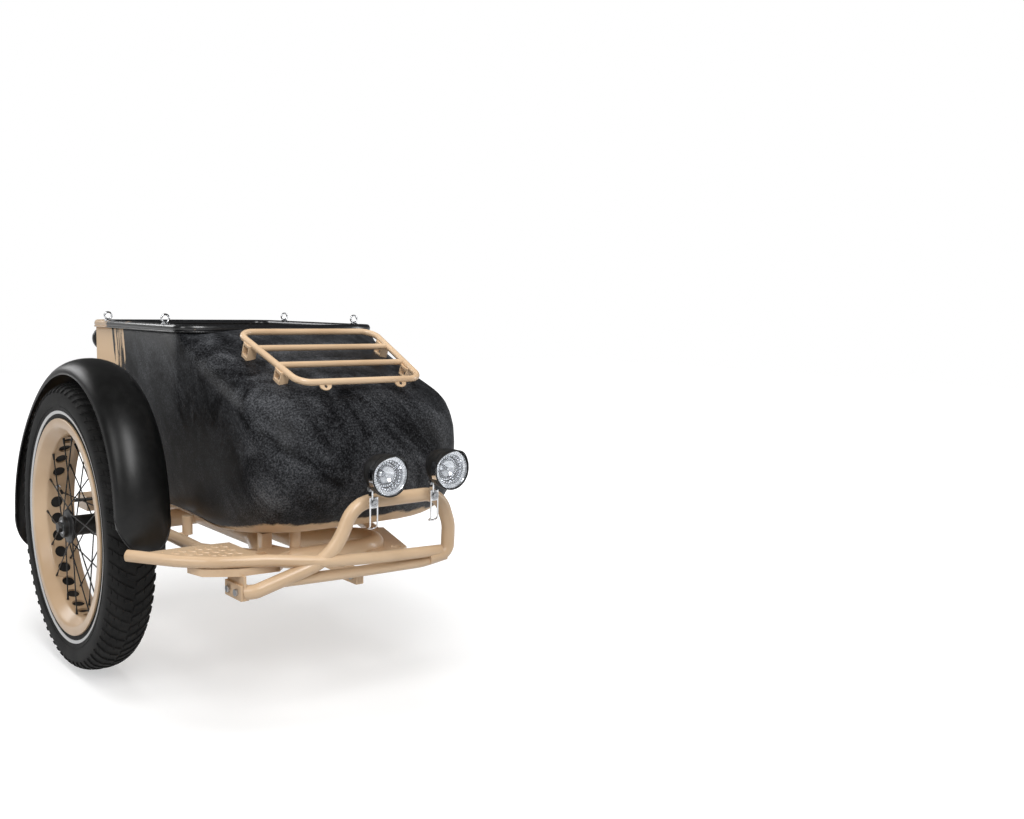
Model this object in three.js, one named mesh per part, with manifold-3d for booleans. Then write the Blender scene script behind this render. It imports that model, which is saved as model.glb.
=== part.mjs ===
// Bicycle sidecar: a hollow tub on a tube chassis, with one spoked wheel, a step, a bumper hoop and a rack.
// Millimetres, +Z up. It drives towards -Y, its wheel is on the -X side and the bicycle on the +X side.
// The pieces are placed from the point on the ground under the tub's centre plane, beside the wheel's axle.
import * as THREE from "three";
import { mergeVertices } from "three/addons/utils/BufferGeometryUtils.js";
import Module from "manifold-3d";

// Fits and making
const gap = 0.3;
const overrun = 10;
const weldLap = 2;
const sheetWeld = 1;
const weldTolerance = 1e-3;
const bendStep = Math.PI / 8;
const tubeSides = 8;
const barSides = 6;
const boltSides = 8;

// Tub
const tubHalfWidth = 225;
const tubRear = 404;
const tubNose = 508;
const tubFloor = 290;
const tubWall = 6;
const floorRise = 28;
const floorRiseStart = 250;
const floorRiseLength = 196;
const noseHeight = 430;
const deckHeight = 690;
const deckSlopeStart = 177;
const deckSlopeShare = 0.39;
const roofFallStart = 330;
const bellyFallStart = 400;
const noseCornerRadius = 100;
const rearCornerRadius = 45;
const rearFloorRadius = 40;
const ridgeDrop = 8;
const ridgeHeight = deckHeight - ridgeDrop;
const roofPower = 2.5;
const bellyPower = 8;
const quarterSteps = 5;
// How far forward to the nose, and how high between the nose and the ridge, the tub's shoulder line runs.
const ridgeShares = [
  [0.22, 1],
  [0.276, 0.873],
  [0.396, 0.659],
  [0.585, 0.504],
  [0.809, 0.385],
  [1, 0],
];
const noseStationShares = [0.22, 0.42, 0.58, 0.7, 0.8, 0.88, 0.94, 0.975, 0.993];

// Cockpit opening and its lip
const cockpitFront = 150;
const cockpitSideFront = 90;
const cockpitPower = 3.2;
const lipInset = 3;
const lipDrop = 2;
const lipHeight = deckHeight - lipDrop;
const lipHalfWidth = 7;
const lipHalfTall = 9;
const lipCornerRadius = 42;
const cockpitTrim = 4.5;

// Tie-down eyes
const eyeRear = 291;
const eyeFront = 50;
const eyeBaseRadius = 8;
const eyeBaseTall = 3;
const eyeRingRadius = 8;
const eyeWireRadius = 2;

// Floor board, seat base and cushions
const boardInset = 75;
const boardHalfWidth = tubHalfWidth - boardInset;
const boardFront = 230;
const boardRear = 358;
const boardThick = 8;
const boardLift = 5;
const seatInset = 77;
const seatHalfWidth = tubHalfWidth - seatInset;
const seatFront = -60;
const seatRear = 375;
const seatTall = 114;
const seatPanel = 12;
const cushionInset = 55;
const cushionWidth = 2 * (tubHalfWidth - cushionInset);
const cushionDepth = 280;
const cushionThick = 44;
const cushionCrown = 20;
const backInset = 60;
const backWidth = 2 * (tubHalfWidth - backInset);
const backTall = 235;
const backThick = 38;
const backCrown = 14;
const cushionDrawIn = 7;
const cushionBulge = 3;
const cushionRoll = 9;
const channelDepth = 5;
const channelShares = [-0.36, 0.36];

// Tub bolts
const tubBoltX = 120;
const tubBoltRadius = 4;
const tubBoltHeadRadius = 8;
const tubBoltHeadTall = 4;
const saddleHalf = 16;

// Tail lamp
const tailX = 188;
const tailDrop = 40;
const tailZ = deckHeight - tailDrop;
const tailRadius = 28;
const tailBracketThick = 3;
const tailBracketHalfTall = 14;
const tailBracketReach = 62;
const tailBaseDepth = 14;
const tailLensDepth = 22;

// Luggage rack
const rackRear = 239;
const rackRearDrop = 6;
const rackRearHeight = deckHeight - rackRearDrop;
const rackRearInset = 71;
const rackRearHalf = tubHalfWidth - rackRearInset;
const rackFront = 453;
const rackFrontDrop = 92;
const rackFrontHeight = deckHeight - rackFrontDrop;
const rackFrontInset = 92;
const rackFrontHalf = tubHalfWidth - rackFrontInset;
const rackBar = 6.4;
const rackBend = 30;
const rackRailShares = [0.335, 0.665];
const rackFootShares = [0.234, 0.743];
const footHalfWidth = 9;
const footHalfLength = 13;
const footTall = 34;
const footWall = 3;
const footFlange = 5;
const rackBoltRadius = 2.5;
const rackBoltHead = 4.5;
const rackBoltHeadTall = 3;
const tabX = 82;
const tabHalfWidth = 8;
const tabReach = 20;
const tabThick = 3;
const tabHole = 3.2;

// Wheel
const wheelX = 376;
const tyreRadius = 290;
const tyreHalfWidth = 47;
const tyreWall = 5;
const tyreTall = 73;
const rimRadius = tyreRadius - tyreTall;
const rimHalfWidth = 42;
const rimSeatDepth = 14;
const rimSeat = rimRadius - rimSeatDepth;
const rimWellDepth = 29;
const rimWell = rimRadius - rimWellDepth;
const rimSheet = 5;
const rimHoleRadius = 12.5;
const rimHoleCount = 32;
const valvePlace = 6;
const valveRadius = 3;
const valveLength = 34;
const stripHalfWidth = 13;
const stripThick = 1.5;
const tubeSection = 31;
const wheelSegments = 32;
const spokeRadius = 1.3;
const spokeSpread = 18;
const spokeStagger = 2;
const spokeCrossing = Math.PI * 0.36;
const hubFlangeX = 31;
const hubFlangeRadius = 35;
const hubFlangeThick = 5;
const hubRadius = 21;
const hubHalfWidth = 45;
const bearingRadius = 14;
const bearingWidth = 12;
const spindleRadius = 6;
const axleNutRadius = 11;
const axleNutThick = 8;

// Stub axle
const stubRadius = 18;
const stubBore = 10;
const stubFlangeHalf = 34;
const stubFlangeThick = 6;
const stubSocket = 30;
const stubBoltOffset = 26;
const axlePlateThick = 9;

// Fender: an arch round a centre a little below and in front of the axle
const fenderX = 372;
const fenderClearance = 61;
const fenderRadius = tyreRadius + fenderClearance;
const fenderCentreDrop = 14;
const fenderCentreZ = tyreRadius - fenderCentreDrop;
const fenderForward = 18;
const fenderDepth = 30;
const fenderHalfWidth = 50.5;
const fenderThick = 2.5;
const fenderFrontAngle = Math.PI * 0.485;
const fenderSway = 12;
const fenderSwayGrowth = 1.6;
const fenderRearAngle = Math.PI * 0.584;
const fenderTipAngle = Math.PI * 0.075;
const fenderSteps = 24;
const stayThick = 3;
const stayWidth = 26;
const stayRearAngle = Math.PI * 0.4035;
const stayFrontY = 322;
const stayFrontX = 345;
const stayTabHalf = 8;
const stayTabTall = 34;
const stayTabShare = 0.325;

// Chassis
const railX = 245;
const railDrop = 18;
const railRadius = 11;
const railFront = 420;
const hairpinDrop = 26;
const hairpinRadius = 19;
const hairpinLegX = 100;
const hairpinFlareX = 150;
const hairpinFlareY = 330;
const hairpinStraight = 200;
const hairpinFront = 412;
const hairpinTurnX = 18;
const hairpinTurnRadius = 61;
const hairpinReturnX = 40;
const hairpinBend = 60;
const armY = 84;
const armBend = 45;
const armKinkX = 262;
const rearMemberFront = 326;
const rearMemberRear = 396;
const rearMemberX = 268;
const rearMemberTall = 34;
const rearMemberDrop = 4;
const braceRadius = 10;
const postRadius = 11;
const firstPostX = 214;
const firstPostY = 128;
const lugPostHalf = 10;
const lugPostX = 160;
const lugPostY = 363;
const thirdPostX = 115;
const thirdPostY = 398;
const plateThick = 7;
const plateDrop = 28;
const plateHoleX = 90;
const plateHoleY = 430;
const plateHoleRadius = 10;
const strutRadius = 12.5;

// Rear coupling, the face that bolts to the bicycle
const couplingX = 350;
const couplingZ = 318;
const couplingThick = 8;
const couplingHalfWide = 44;
const couplingHalfTall = 32;
const couplingHole = 5.5;
const couplingHoleOffset = 30;

// Step and its pan
const stepTubeRadius = 10.5;
const stepBend = 90;
const stepTop = 303;
const stepRear = 361;
const stepSheet = 3;
const panFloor = 276;
const panTall = 13;
const panWall = 3;
const panPostRadius = 7;

// Bumper hoop
const hoopRadius = 12.7;
const hoopFront = 576;
const hoopTop = 392;
const hoopHalf = 92;
const hoopRightX = 113;
const hoopBend = 50;
const hoopLegBend = 110;
const lowerRunRadius = 10;

// Clamps between the bumper frame and the chassis
const clampX = [-285, -70];
const clampFront = [526, 545];
const clampLength = 64;
const clampTop = 261;
const clampTall = 27;
const clampSheet = 5;
const clampBoltInset = 16;
const clampBoltRadius = 3.5;
const clampHeadRadius = 6.5;
const clampHeadTall = 4.5;

// Headlamps
const lampX = 65.5;
const lampShift = 2;
const lampLensY = 650;
const lampZ = 447;
const lampRadius = 37;
const lampDepth = 62;
const lampShell = 2.5;
const lampLensThick = 5;
const lampLensSet = 2;
const hoodReach = 16;
const hoodThick = 2;
const reflectorDepth = 26;
const reflectorWall = 2;
const reflectorBulb = 5;
const pivotY = 592;
const pivotZ = 417;
const pivotRadius = 2.5;
const pivotHead = 5;
const pivotHeadTall = 3.5;
const lampLug = 6;
const lampLugRadius = 8;
const strapThick = 3;
const strapHalfWidth = 9;
const strapBottom = 347;
const strapSlotHalf = 4;
const strapSlotTop = 379;
const strapEdge = 8;
const lampSegments = 16;
const bossRadius = 9;
const bossProud = 3;
const strapBoltRadius = 3;
const strapBoltHead = 6;
const strapBoltHeadTall = 4;
const strapBoltDepth = 4;

const wasm = await Module();
wasm.setup();

const v = (x, y, z) => new THREE.Vector3(x, y, z);
const mix = (from, to, share) => from + (to - from) * share;
const clampShare = (value) => Math.min(1, Math.max(0, value));

// A geometry with its shared corners merged, no flat faces, and its faces pointing out.
function closed(geometry) {
  const bare = geometry.clone();
  bare.deleteAttribute("normal");
  bare.deleteAttribute("uv");
  const merged = mergeVertices(bare, weldTolerance);
  const all = merged.index.array;
  const kept = [];
  const a = v(0, 0, 0);
  const b = v(0, 0, 0);
  const c = v(0, 0, 0);
  let volume = 0;
  for (let i = 0; i < all.length; i += 3) {
    const [p, q, r] = [all[i], all[i + 1], all[i + 2]];
    if (p === q || q === r || r === p) continue;
    kept.push(p, q, r);
    a.fromBufferAttribute(merged.attributes.position, p);
    b.fromBufferAttribute(merged.attributes.position, q);
    c.fromBufferAttribute(merged.attributes.position, r);
    volume += a.dot(b.cross(c));
  }
  if (volume < 0) kept.reverse();
  merged.setIndex(kept);
  return merged;
}

function solid(geometry) {
  const g = closed(geometry);
  return new wasm.Manifold(
    new wasm.Mesh({
      numProp: 3,
      vertProperties: new Float32Array(g.attributes.position.array),
      triVerts: new Uint32Array(g.index.array),
    }),
  );
}

function shape(made) {
  const mesh = made.getMesh();
  const geometry = new THREE.BufferGeometry();
  const points = [];
  for (let i = 0; i < mesh.numVert; i += 1) {
    points.push(...mesh.vertProperties.subarray(i * mesh.numProp, i * mesh.numProp + 3));
  }
  geometry.setAttribute("position", new THREE.Float32BufferAttribute(points, 3));
  geometry.setIndex([...mesh.triVerts]);
  return geometry;
}

function joined(...pieces) {
  return shape(pieces.map(solid).reduce((sum, piece) => sum.add(piece)));
}

function carved(body, ...tools) {
  return shape(tools.map(solid).reduce((rest, tool) => rest.subtract(tool), solid(body)));
}

// A path of straight runs with rounded corners. It has a station only where the path starts, bends or ends.
class RoundedRoute extends THREE.Curve {
  constructor(corners, bends) {
    super();
    this.places = [corners[0]];
    this.headings = [corners[1].clone().sub(corners[0]).normalize()];
    for (let i = 1; i < corners.length - 1; i += 1) {
      const before = corners[i].clone().sub(corners[i - 1]).normalize();
      const after = corners[i + 1].clone().sub(corners[i]).normalize();
      this.bend(corners[i], before, after, Array.isArray(bends) ? bends[i - 1] : bends);
    }
    const last = corners.length - 1;
    this.places.push(corners[last]);
    this.headings.push(corners[last].clone().sub(corners[last - 1]).normalize());
  }

  bend(corner, before, after, radius) {
    const turn = before.angleTo(after);
    const steps = Math.max(1, Math.round(turn / bendStep));
    const side = after.clone().addScaledVector(before, -Math.cos(turn)).divideScalar(Math.sin(turn));
    const start = corner.clone().addScaledVector(before, -radius * Math.tan(turn / 2));
    for (let i = 0; i <= steps; i += 1) {
      const angle = (turn * i) / steps;
      const place = start.clone().addScaledVector(before, radius * Math.sin(angle));
      place.addScaledVector(side, radius * (1 - Math.cos(angle)));
      this.places.push(place);
      const heading = before.clone().multiplyScalar(Math.cos(angle));
      this.headings.push(heading.addScaledVector(side, Math.sin(angle)));
    }
  }

  getPoint(t) {
    return this.places[Math.round(t * (this.places.length - 1))].clone();
  }

  getPointAt(t) {
    return this.getPoint(t);
  }

  getTangentAt(t) {
    return this.headings[Math.round(t * (this.headings.length - 1))].clone();
  }
}

function disc(radius, sides) {
  const points = [];
  for (let i = 0; i < sides; i += 1) {
    const angle = ((i + 0.5) * 2 * Math.PI) / sides;
    points.push(new THREE.Vector2(radius * Math.cos(angle), radius * Math.sin(angle)));
  }
  return new THREE.Shape(points);
}

function tube(corners, bends, radius, sides = tubeSides) {
  const route = new RoundedRoute(corners, bends);
  const steps = route.places.length - 1;
  return new THREE.ExtrudeGeometry(disc(radius, sides), { steps, extrudePath: route });
}

function rod(from, to, radius, sides = boltSides) {
  const length = from.distanceTo(to);
  const geometry = new THREE.CylinderGeometry(radius, radius, length, sides);
  const up = new THREE.Vector3(0, 1, 0);
  geometry.applyQuaternion(new THREE.Quaternion().setFromUnitVectors(up, to.clone().sub(from).normalize()));
  return geometry.translate(...from.clone().add(to).divideScalar(2).toArray());
}

function block(low, high) {
  const size = high.clone().sub(low);
  const middle = low.clone().add(high).divideScalar(2);
  return new THREE.BoxGeometry(...size.toArray()).translate(...middle.toArray());
}

// A flat sheet cut along an outline of [x, y] corners, between two heights.
function sheet(outline, low, high) {
  const cut = new THREE.Shape(outline.map(([x, y]) => new THREE.Vector2(x, y)));
  const geometry = new THREE.ExtrudeGeometry(cut, { depth: high - low, bevelEnabled: false });
  return geometry.translate(0, 0, low);
}

// A turned piece: profile points are [radius, place along the axis]. It turns about Y, or about X.
function turned(profile, segments, aboutX) {
  const geometry = new THREE.LatheGeometry(
    profile.map(([radius, along]) => new THREE.Vector2(radius, along)),
    segments,
  );
  return aboutX ? geometry.rotateZ(-Math.PI / 2) : geometry;
}

// A skin over rings of as many points each, with its two ends closed by the outlines given.
function loft(rings, endOutline) {
  const count = rings[0].length;
  const points = rings.flat().flatMap((p) => p.toArray());
  const faces = [];
  for (let i = 0; i < rings.length - 1; i += 1) {
    for (let j = 0; j < count; j += 1) {
      const k = (j + 1) % count;
      const [a, b, c, d] = [i * count + j, i * count + k, (i + 1) * count + k, (i + 1) * count + j];
      faces.push(a, b, c, a, c, d);
    }
  }
  const last = (rings.length - 1) * count;
  const leftHanded = THREE.ShapeUtils.area(endOutline) < 0;
  for (const face of THREE.ShapeUtils.triangulateShape(endOutline, [])) {
    const [p, q, r] = leftHanded ? [...face].reverse() : face;
    faces.push(r, q, p, last + p, last + q, last + r);
  }
  const geometry = new THREE.BufferGeometry();
  geometry.setAttribute("position", new THREE.Float32BufferAttribute(points, 3));
  geometry.setIndex(faces);
  return geometry;
}

// The tub's shoulder height at a place along it.
function ridgeAt(y) {
  const share = Math.max(-y / tubNose, ridgeShares[0][0]);
  const next = ridgeShares.findIndex(([place]) => place >= share);
  if (next <= 0) return ridgeHeight;
  const [from, to] = [ridgeShares[next - 1], ridgeShares[next]];
  const rise = mix(from[1], to[1], (share - from[0]) / (to[0] - from[0]));
  return mix(noseHeight, ridgeHeight, rise);
}

// The tub's cross-section at a place along it, drawn in by a wall or let out by a clearance.
function tubSection(y, inset) {
  const roofShare = clampShare((-roofFallStart - y) / (tubNose - roofFallStart));
  const bellyShare = clampShare((-bellyFallStart - y) / (tubNose - bellyFallStart));
  const deck = deckHeight - Math.max(0, -deckSlopeStart - y) * deckSlopeShare;
  const keel = tubFloor + floorRise * Math.max(0, (-floorRiseStart - y) / floorRiseLength);
  const noseDrop = Math.sqrt(1 - roofShare ** 5);
  const noseLift = Math.sqrt(1 - bellyShare ** 3);
  const frontCurve = Math.max(0, noseCornerRadius - tubNose - y);
  const rearCurve = Math.max(0, y - tubRear + rearCornerRadius);
  const floorCurve = Math.max(0, y - tubRear + rearFloorRadius);
  let half = tubHalfWidth - inset;
  half -= noseCornerRadius - Math.sqrt(noseCornerRadius ** 2 - frontCurve ** 2);
  half -= rearCornerRadius - Math.sqrt(rearCornerRadius ** 2 - rearCurve ** 2);
  const tuck = rearFloorRadius - Math.sqrt(rearFloorRadius ** 2 - floorCurve ** 2);
  return {
    half,
    ridge: ridgeAt(y),
    top: mix(noseHeight, deck, noseDrop) - inset,
    bottom: mix(noseHeight, keel, noseLift) + tuck + inset,
    power: mix(bellyPower, roofPower, roofShare),
  };
}

function tubRing(y, inset) {
  const { half, ridge, top, bottom, power } = tubSection(y, inset);
  const centre = (tubRear - tubNose) / 2;
  const reach = (tubRear + tubNose) / 2;
  const place = centre + (y - centre) * (1 - inset / reach);
  const ring = [];
  for (let i = 0; i < 4 * quarterSteps; i += 1) {
    const angle = (i * Math.PI) / (2 * quarterSteps);
    const upper = i <= 2 * quarterSteps;
    const bow = upper ? roofPower : power;
    const across = Math.abs(Math.cos(angle)) < weldTolerance ? 0 : Math.cos(angle);
    const x = half * Math.sign(across) * Math.abs(across) ** (2 / bow);
    const lift = Math.abs(Math.sin(angle)) ** (2 / bow);
    ring.push(v(x, place, upper ? mix(ridge, top, lift) : mix(ridge, bottom, lift)));
  }
  return ring;
}

function tubStations() {
  const cornerSteps = 4;
  const stations = [];
  for (let i = 0; i <= cornerSteps; i += 1) {
    const turn = (i * Math.PI) / (2 * cornerSteps);
    stations.push(tubRear - rearCornerRadius * (1 - Math.cos(turn)));
  }
  const [first, second, third, fourth] = ridgeShares.map(([share]) => -tubNose * share);
  stations.push(armY, -cockpitSideFront, first, second, -cockpitFront);
  stations.push(third, -floorRiseStart, fourth, -roofFallStart);
  for (const share of noseStationShares) stations.push(-mix(roofFallStart, tubNose, share));
  return stations;
}

function tubForm(inset) {
  const rings = tubStations().map((y) => tubRing(y, inset));
  return loft(rings, rings[0].map((p) => new THREE.Vector2(p.x, p.z)));
}

// The cockpit's outline in plan, drawn in from the lip's middle line.
function cockpitOutline(inset) {
  const half = tubHalfWidth - lipInset - inset;
  const rear = tubRear - lipInset - inset;
  const corner = lipCornerRadius - inset;
  const reach = cockpitFront - cockpitSideFront - inset;
  const frontSteps = 12;
  const cornerSteps = 4;
  const outline = [];
  for (let i = 0; i <= frontSteps; i += 1) {
    const angle = Math.PI + (i * Math.PI) / frontSteps;
    const [across, along] = [Math.cos(angle), Math.sin(angle)];
    const x = half * Math.sign(across) * Math.abs(across) ** (2 / cockpitPower);
    const y = -cockpitSideFront - reach * Math.abs(along) ** (2 / cockpitPower);
    outline.push(new THREE.Vector2(x, y));
  }
  for (const [side, start] of [[1, 0], [-1, Math.PI / 2]]) {
    for (let i = 0; i <= cornerSteps; i += 1) {
      const angle = start + (i * Math.PI) / (2 * cornerSteps);
      const x = side * (half - corner) + corner * Math.cos(angle);
      outline.push(new THREE.Vector2(x, rear - corner + corner * Math.sin(angle)));
    }
  }
  return outline;
}

// The rolled lip: an upright oval carried round the cockpit's outline.
function lip() {
  const outline = cockpitOutline(0);
  const sides = 6;
  const rings = outline.map((point, i) => {
    const before = outline[(i + outline.length - 1) % outline.length];
    const after = outline[(i + 1) % outline.length];
    const heading = after.clone().sub(before).normalize();
    const ring = [];
    for (let j = 0; j < sides; j += 1) {
      const angle = (j * 2 * Math.PI) / sides;
      const out = lipHalfWidth * Math.cos(angle);
      const z = lipHeight + lipHalfTall * Math.sin(angle);
      ring.push(v(point.x + heading.y * out, point.y - heading.x * out, z));
    }
    return ring;
  });
  const count = rings.length;
  const faces = [];
  for (let i = 0; i < count; i += 1) {
    for (let j = 0; j < sides; j += 1) {
      const [n, m] = [(i + 1) % count, (j + 1) % sides];
      const [a, b, c, d] = [i * sides + j, n * sides + j, n * sides + m, i * sides + m];
      faces.push(a, b, c, a, c, d);
    }
  }
  const geometry = new THREE.BufferGeometry();
  const points = rings.flat().flatMap((p) => p.toArray());
  geometry.setAttribute("position", new THREE.Float32BufferAttribute(points, 3));
  geometry.setIndex(faces);
  return geometry;
}

// The tub's bolts go down through the floor board, the tub and a saddle on each cross member.
const rearBoltY = (rearMemberFront + rearMemberRear) / 2 - saddleHalf;
const tubBolts = [[-tubBoltX, armY], [tubBoltX, armY], [-tubBoltX, rearBoltY], [tubBoltX, rearBoltY]];
const boardBottom = tubFloor + tubWall + boardLift;
const boardTop = boardBottom + boardThick;
const saddleTop = tubFloor - gap;
const hairpinZ = tubFloor - hairpinDrop;
const railZ = tubFloor - railDrop;
const rearMemberTop = tubFloor - rearMemberDrop;

function boltHoles() {
  return tubBolts.map(([x, y]) => {
    return rod(v(x, y, hairpinZ), v(x, y, boardTop + overrun), tubBoltRadius + gap);
  });
}

function tubShell() {
  const cockpit = new THREE.Shape(cockpitOutline(cockpitTrim));
  const hatch = new THREE.ExtrudeGeometry(cockpit, {
    depth: deckHeight - ridgeHeight + 2 * overrun,
    bevelEnabled: false,
  });
  hatch.translate(0, 0, ridgeHeight - overrun);
  const reach = tubHalfWidth + overrun;
  const brim = block(
    v(-reach, -cockpitSideFront, lipHeight),
    v(reach, tubRear + overrun, deckHeight + overrun),
  );
  const hollow = carved(tubForm(0), tubForm(tubWall), hatch, brim, ...boltHoles());
  return joined(hollow, lip());
}

function tubBolt([x, y]) {
  const head = rod(v(x, y, boardTop + gap), v(x, y, boardTop + gap + tubBoltHeadTall), tubBoltHeadRadius);
  const shank = rod(v(x, y, hairpinZ + overrun), v(x, y, boardTop + gap + sheetWeld), tubBoltRadius);
  return joined(head, shank);
}

function floorBoard() {
  const plank = block(v(-boardHalfWidth, -boardFront, boardBottom), v(boardHalfWidth, boardRear, boardTop));
  return carved(plank, ...boltHoles());
}

// The seat base: a bench with two side panels, open at its front and back.
const seatBottom = boardTop + gap;
const seatTop = seatBottom + seatTall;

function seatBase() {
  const whole = block(v(-seatHalfWidth, -seatFront, seatBottom), v(seatHalfWidth, seatRear, seatTop));
  const inner = seatHalfWidth - seatPanel;
  const under = block(
    v(-inner, -seatFront - overrun, seatBottom - overrun),
    v(inner, seatRear + overrun, seatTop - seatPanel),
  );
  return carved(whole, under);
}

// A cushion with a crowned, channelled top, a flat bottom, rolled edges and sides drawn in
// between its corners.
function cushion(width, depth, thick, crown) {
  const [across, along] = [11, 8];
  const points = [];
  const faces = [];
  const place = (u, w, inset, z) => {
    const x = u * (width / 2 - inset - cushionDrawIn * (1 - w * w));
    const y = w * (depth / 2 - inset - cushionDrawIn * (1 - u * u));
    points.push(x, y, z);
  };
  const groove = (u) => channelShares.some((share) => Math.abs(u - share) < 1 / across);
  for (const top of [true, false]) {
    for (let j = 0; j <= along; j += 1) {
      for (let i = 0; i <= across; i += 1) {
        const [u, w] = [(2 * i) / across - 1, (2 * j) / along - 1];
        const swell = crown * (1 - u ** 4) * (1 - w ** 4) - (groove(u) ? channelDepth * (1 - w ** 4) : 0);
        place(u, w, top ? cushionRoll : cushionBulge, top ? thick + swell : 0);
      }
    }
  }
  const row = across + 1;
  const bottom = row * (along + 1);
  for (let j = 0; j < along; j += 1) {
    for (let i = 0; i < across; i += 1) {
      const a = j * row + i;
      faces.push(a, a + 1, a + row + 1, a, a + row + 1, a + row);
      faces.push(bottom + a, bottom + a + row + 1, bottom + a + 1);
      faces.push(bottom + a, bottom + a + row, bottom + a + row + 1);
    }
  }
  const edge = [];
  for (let i = 0; i < across; i += 1) edge.push([i, 0]);
  for (let j = 0; j < along; j += 1) edge.push([across, j]);
  for (let i = across; i > 0; i -= 1) edge.push([i, along]);
  for (let j = along; j > 0; j -= 1) edge.push([0, j]);
  const seam = points.length / 3;
  for (const [i, j] of edge) place((2 * i) / across - 1, (2 * j) / along - 1, 0, thick / 2);
  edge.forEach(([i, j], n) => {
    const m = (n + 1) % edge.length;
    const [a, b] = [j * row + i, edge[m][1] * row + edge[m][0]];
    const [c, d] = [seam + n, seam + m];
    faces.push(c, d, b, c, b, a, c, bottom + a, bottom + b, c, bottom + b, d);
  });
  const geometry = new THREE.BufferGeometry();
  geometry.setAttribute("position", new THREE.Float32BufferAttribute(points, 3));
  geometry.setIndex(faces);
  return geometry;
}

function seatCushion() {
  const middle = -seatFront + cushionDepth / 2;
  return cushion(cushionWidth, cushionDepth, cushionThick, cushionCrown).translate(0, middle, seatTop + gap);
}

function backCushion() {
  const back = tubRear - tubWall - gap;
  const pad = cushion(backWidth, backTall, backThick, backCrown).rotateX(Math.PI / 2);
  return pad.translate(0, back, seatTop + gap + backTall / 2);
}

// A tie-down eye: a ring standing on a round base on the lip.
function tieDownEye(side, y) {
  const x = side * (tubHalfWidth - lipInset);
  const foot = lipHeight + lipHalfTall * Math.sin(Math.PI / 3) + gap;
  const base = rod(v(x, y, foot), v(x, y, foot + eyeBaseTall), eyeBaseRadius);
  const ring = new THREE.TorusGeometry(eyeRingRadius, eyeWireRadius, 6, 12).rotateX(Math.PI / 2);
  ring.translate(x, y, foot + eyeBaseTall + eyeRingRadius);
  return joined(base, ring);
}

// The tail lamp on the rear wall, near its outer corner.
function tailBracket() {
  const face = tubRear + gap;
  return block(
    v(-tailX - tailBracketHalfTall, face, tailZ - tailBracketHalfTall),
    v(-tailX + tailBracketReach, face + tailBracketThick, tailZ + tailBracketHalfTall),
  );
}

const tailBaseY = tubRear + tailBracketThick + 2 * gap;

function tailBase() {
  const rim = tailBaseDepth / 3;
  const back = [[tailRadius - rim, 0], [tailRadius, rim]];
  const profile = [[0, 0], ...back, [tailRadius, tailBaseDepth], [0, tailBaseDepth]];
  return turned(profile, 24, false).translate(-tailX, tailBaseY, tailZ);
}

function tailLens() {
  const start = tailBaseDepth + gap;
  const profile = [
    [0, start],
    [tailRadius, start],
    [tailRadius, start + tailLensDepth / 3],
    [tailRadius * Math.SQRT1_2, start + (tailLensDepth * 2) / 3],
    [0, start + tailLensDepth],
  ];
  return turned(profile, 24, false).translate(-tailX, tailBaseY, tailZ);
}

// The rack lies in a plane that slopes down forward. A place on it is a share of the way from its rear rail.
const rackSlope = Math.atan2(rackRearHeight - rackFrontHeight, rackFront - rackRear);

function rackPoint(side, share) {
  const x = side * mix(rackRearHalf, rackFrontHalf, share);
  return v(x, -mix(rackRear, rackFront, share), mix(rackRearHeight, rackFrontHeight, share));
}

function onRack(geometry, place) {
  return geometry.rotateX(rackSlope).translate(...place.toArray());
}

function rackHalfLoop(side) {
  const past = side * -weldLap;
  const [rear, front] = [rackPoint(side, 0), rackPoint(side, 1)];
  const corners = [v(past, rear.y, rear.z), rear, front, v(past, front.y, front.z)];
  return tube(corners, rackBend, rackBar, barSides);
}

function rackFoot(side, share) {
  const place = rackPoint(side, share);
  const whole = block(v(-footHalfWidth, -footHalfLength, -footTall), v(footHalfWidth, footHalfLength, 0));
  const hollow = block(
    v(-footHalfWidth - overrun, footWall - footHalfLength, footFlangeTop(side, share)),
    v(footHalfWidth + overrun, footHalfLength - footWall, -rackBar),
  );
  return onRack(carved(whole, hollow), place);
}

// How far below the rack's plane the deck lies, square to the plane, at a foot.
function deckBelow(side, share) {
  const place = rackPoint(side, share);
  const { half, ridge, top } = tubSection(place.y, 0);
  const deck = mix(ridge, top, (1 - (Math.abs(place.x) / half) ** roofPower) ** (1 / roofPower));
  return (place.z - deck) * Math.cos(rackSlope);
}

function footFlangeTop(side, share) {
  return footFlange - deckBelow(side, share);
}

function rackTab(side) {
  const outline = [
    [-tabHalfWidth, 0],
    [-tabHalfWidth, -tabReach + tabHalfWidth],
    [-tabHalfWidth / 2, -tabReach],
    [tabHalfWidth / 2, -tabReach],
    [tabHalfWidth, -tabReach + tabHalfWidth],
    [tabHalfWidth, 0],
  ];
  const tab = sheet(outline, -tabThick / 2, tabThick / 2);
  const holeY = tabHalfWidth - tabReach;
  const hole = rod(v(0, holeY, -overrun), v(0, holeY, overrun), tabHole);
  const rail = rackPoint(1, 1);
  return onRack(carved(tab, hole), v(side * tabX, rail.y, rail.z));
}

function rackBoltHole(side, share) {
  const low = -deckBelow(side, share) - overrun;
  const hole = rod(v(0, 0, low), v(0, 0, footFlangeTop(side, share) + gap), rackBoltRadius + gap);
  return onRack(hole, rackPoint(side, share));
}

function rackFrame() {
  const pieces = [rackHalfLoop(-1), rackHalfLoop(1)];
  for (const share of rackRailShares) {
    pieces.push(rod(rackPoint(-1, share), rackPoint(1, share), rackBar, barSides));
  }
  const holes = [];
  for (const side of [-1, 1]) {
    pieces.push(rackTab(side));
    for (const share of rackFootShares) {
      pieces.push(rackFoot(side, share));
      holes.push(rackBoltHole(side, share));
    }
  }
  return carved(joined(...pieces), tubForm(-gap), ...holes);
}

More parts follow.
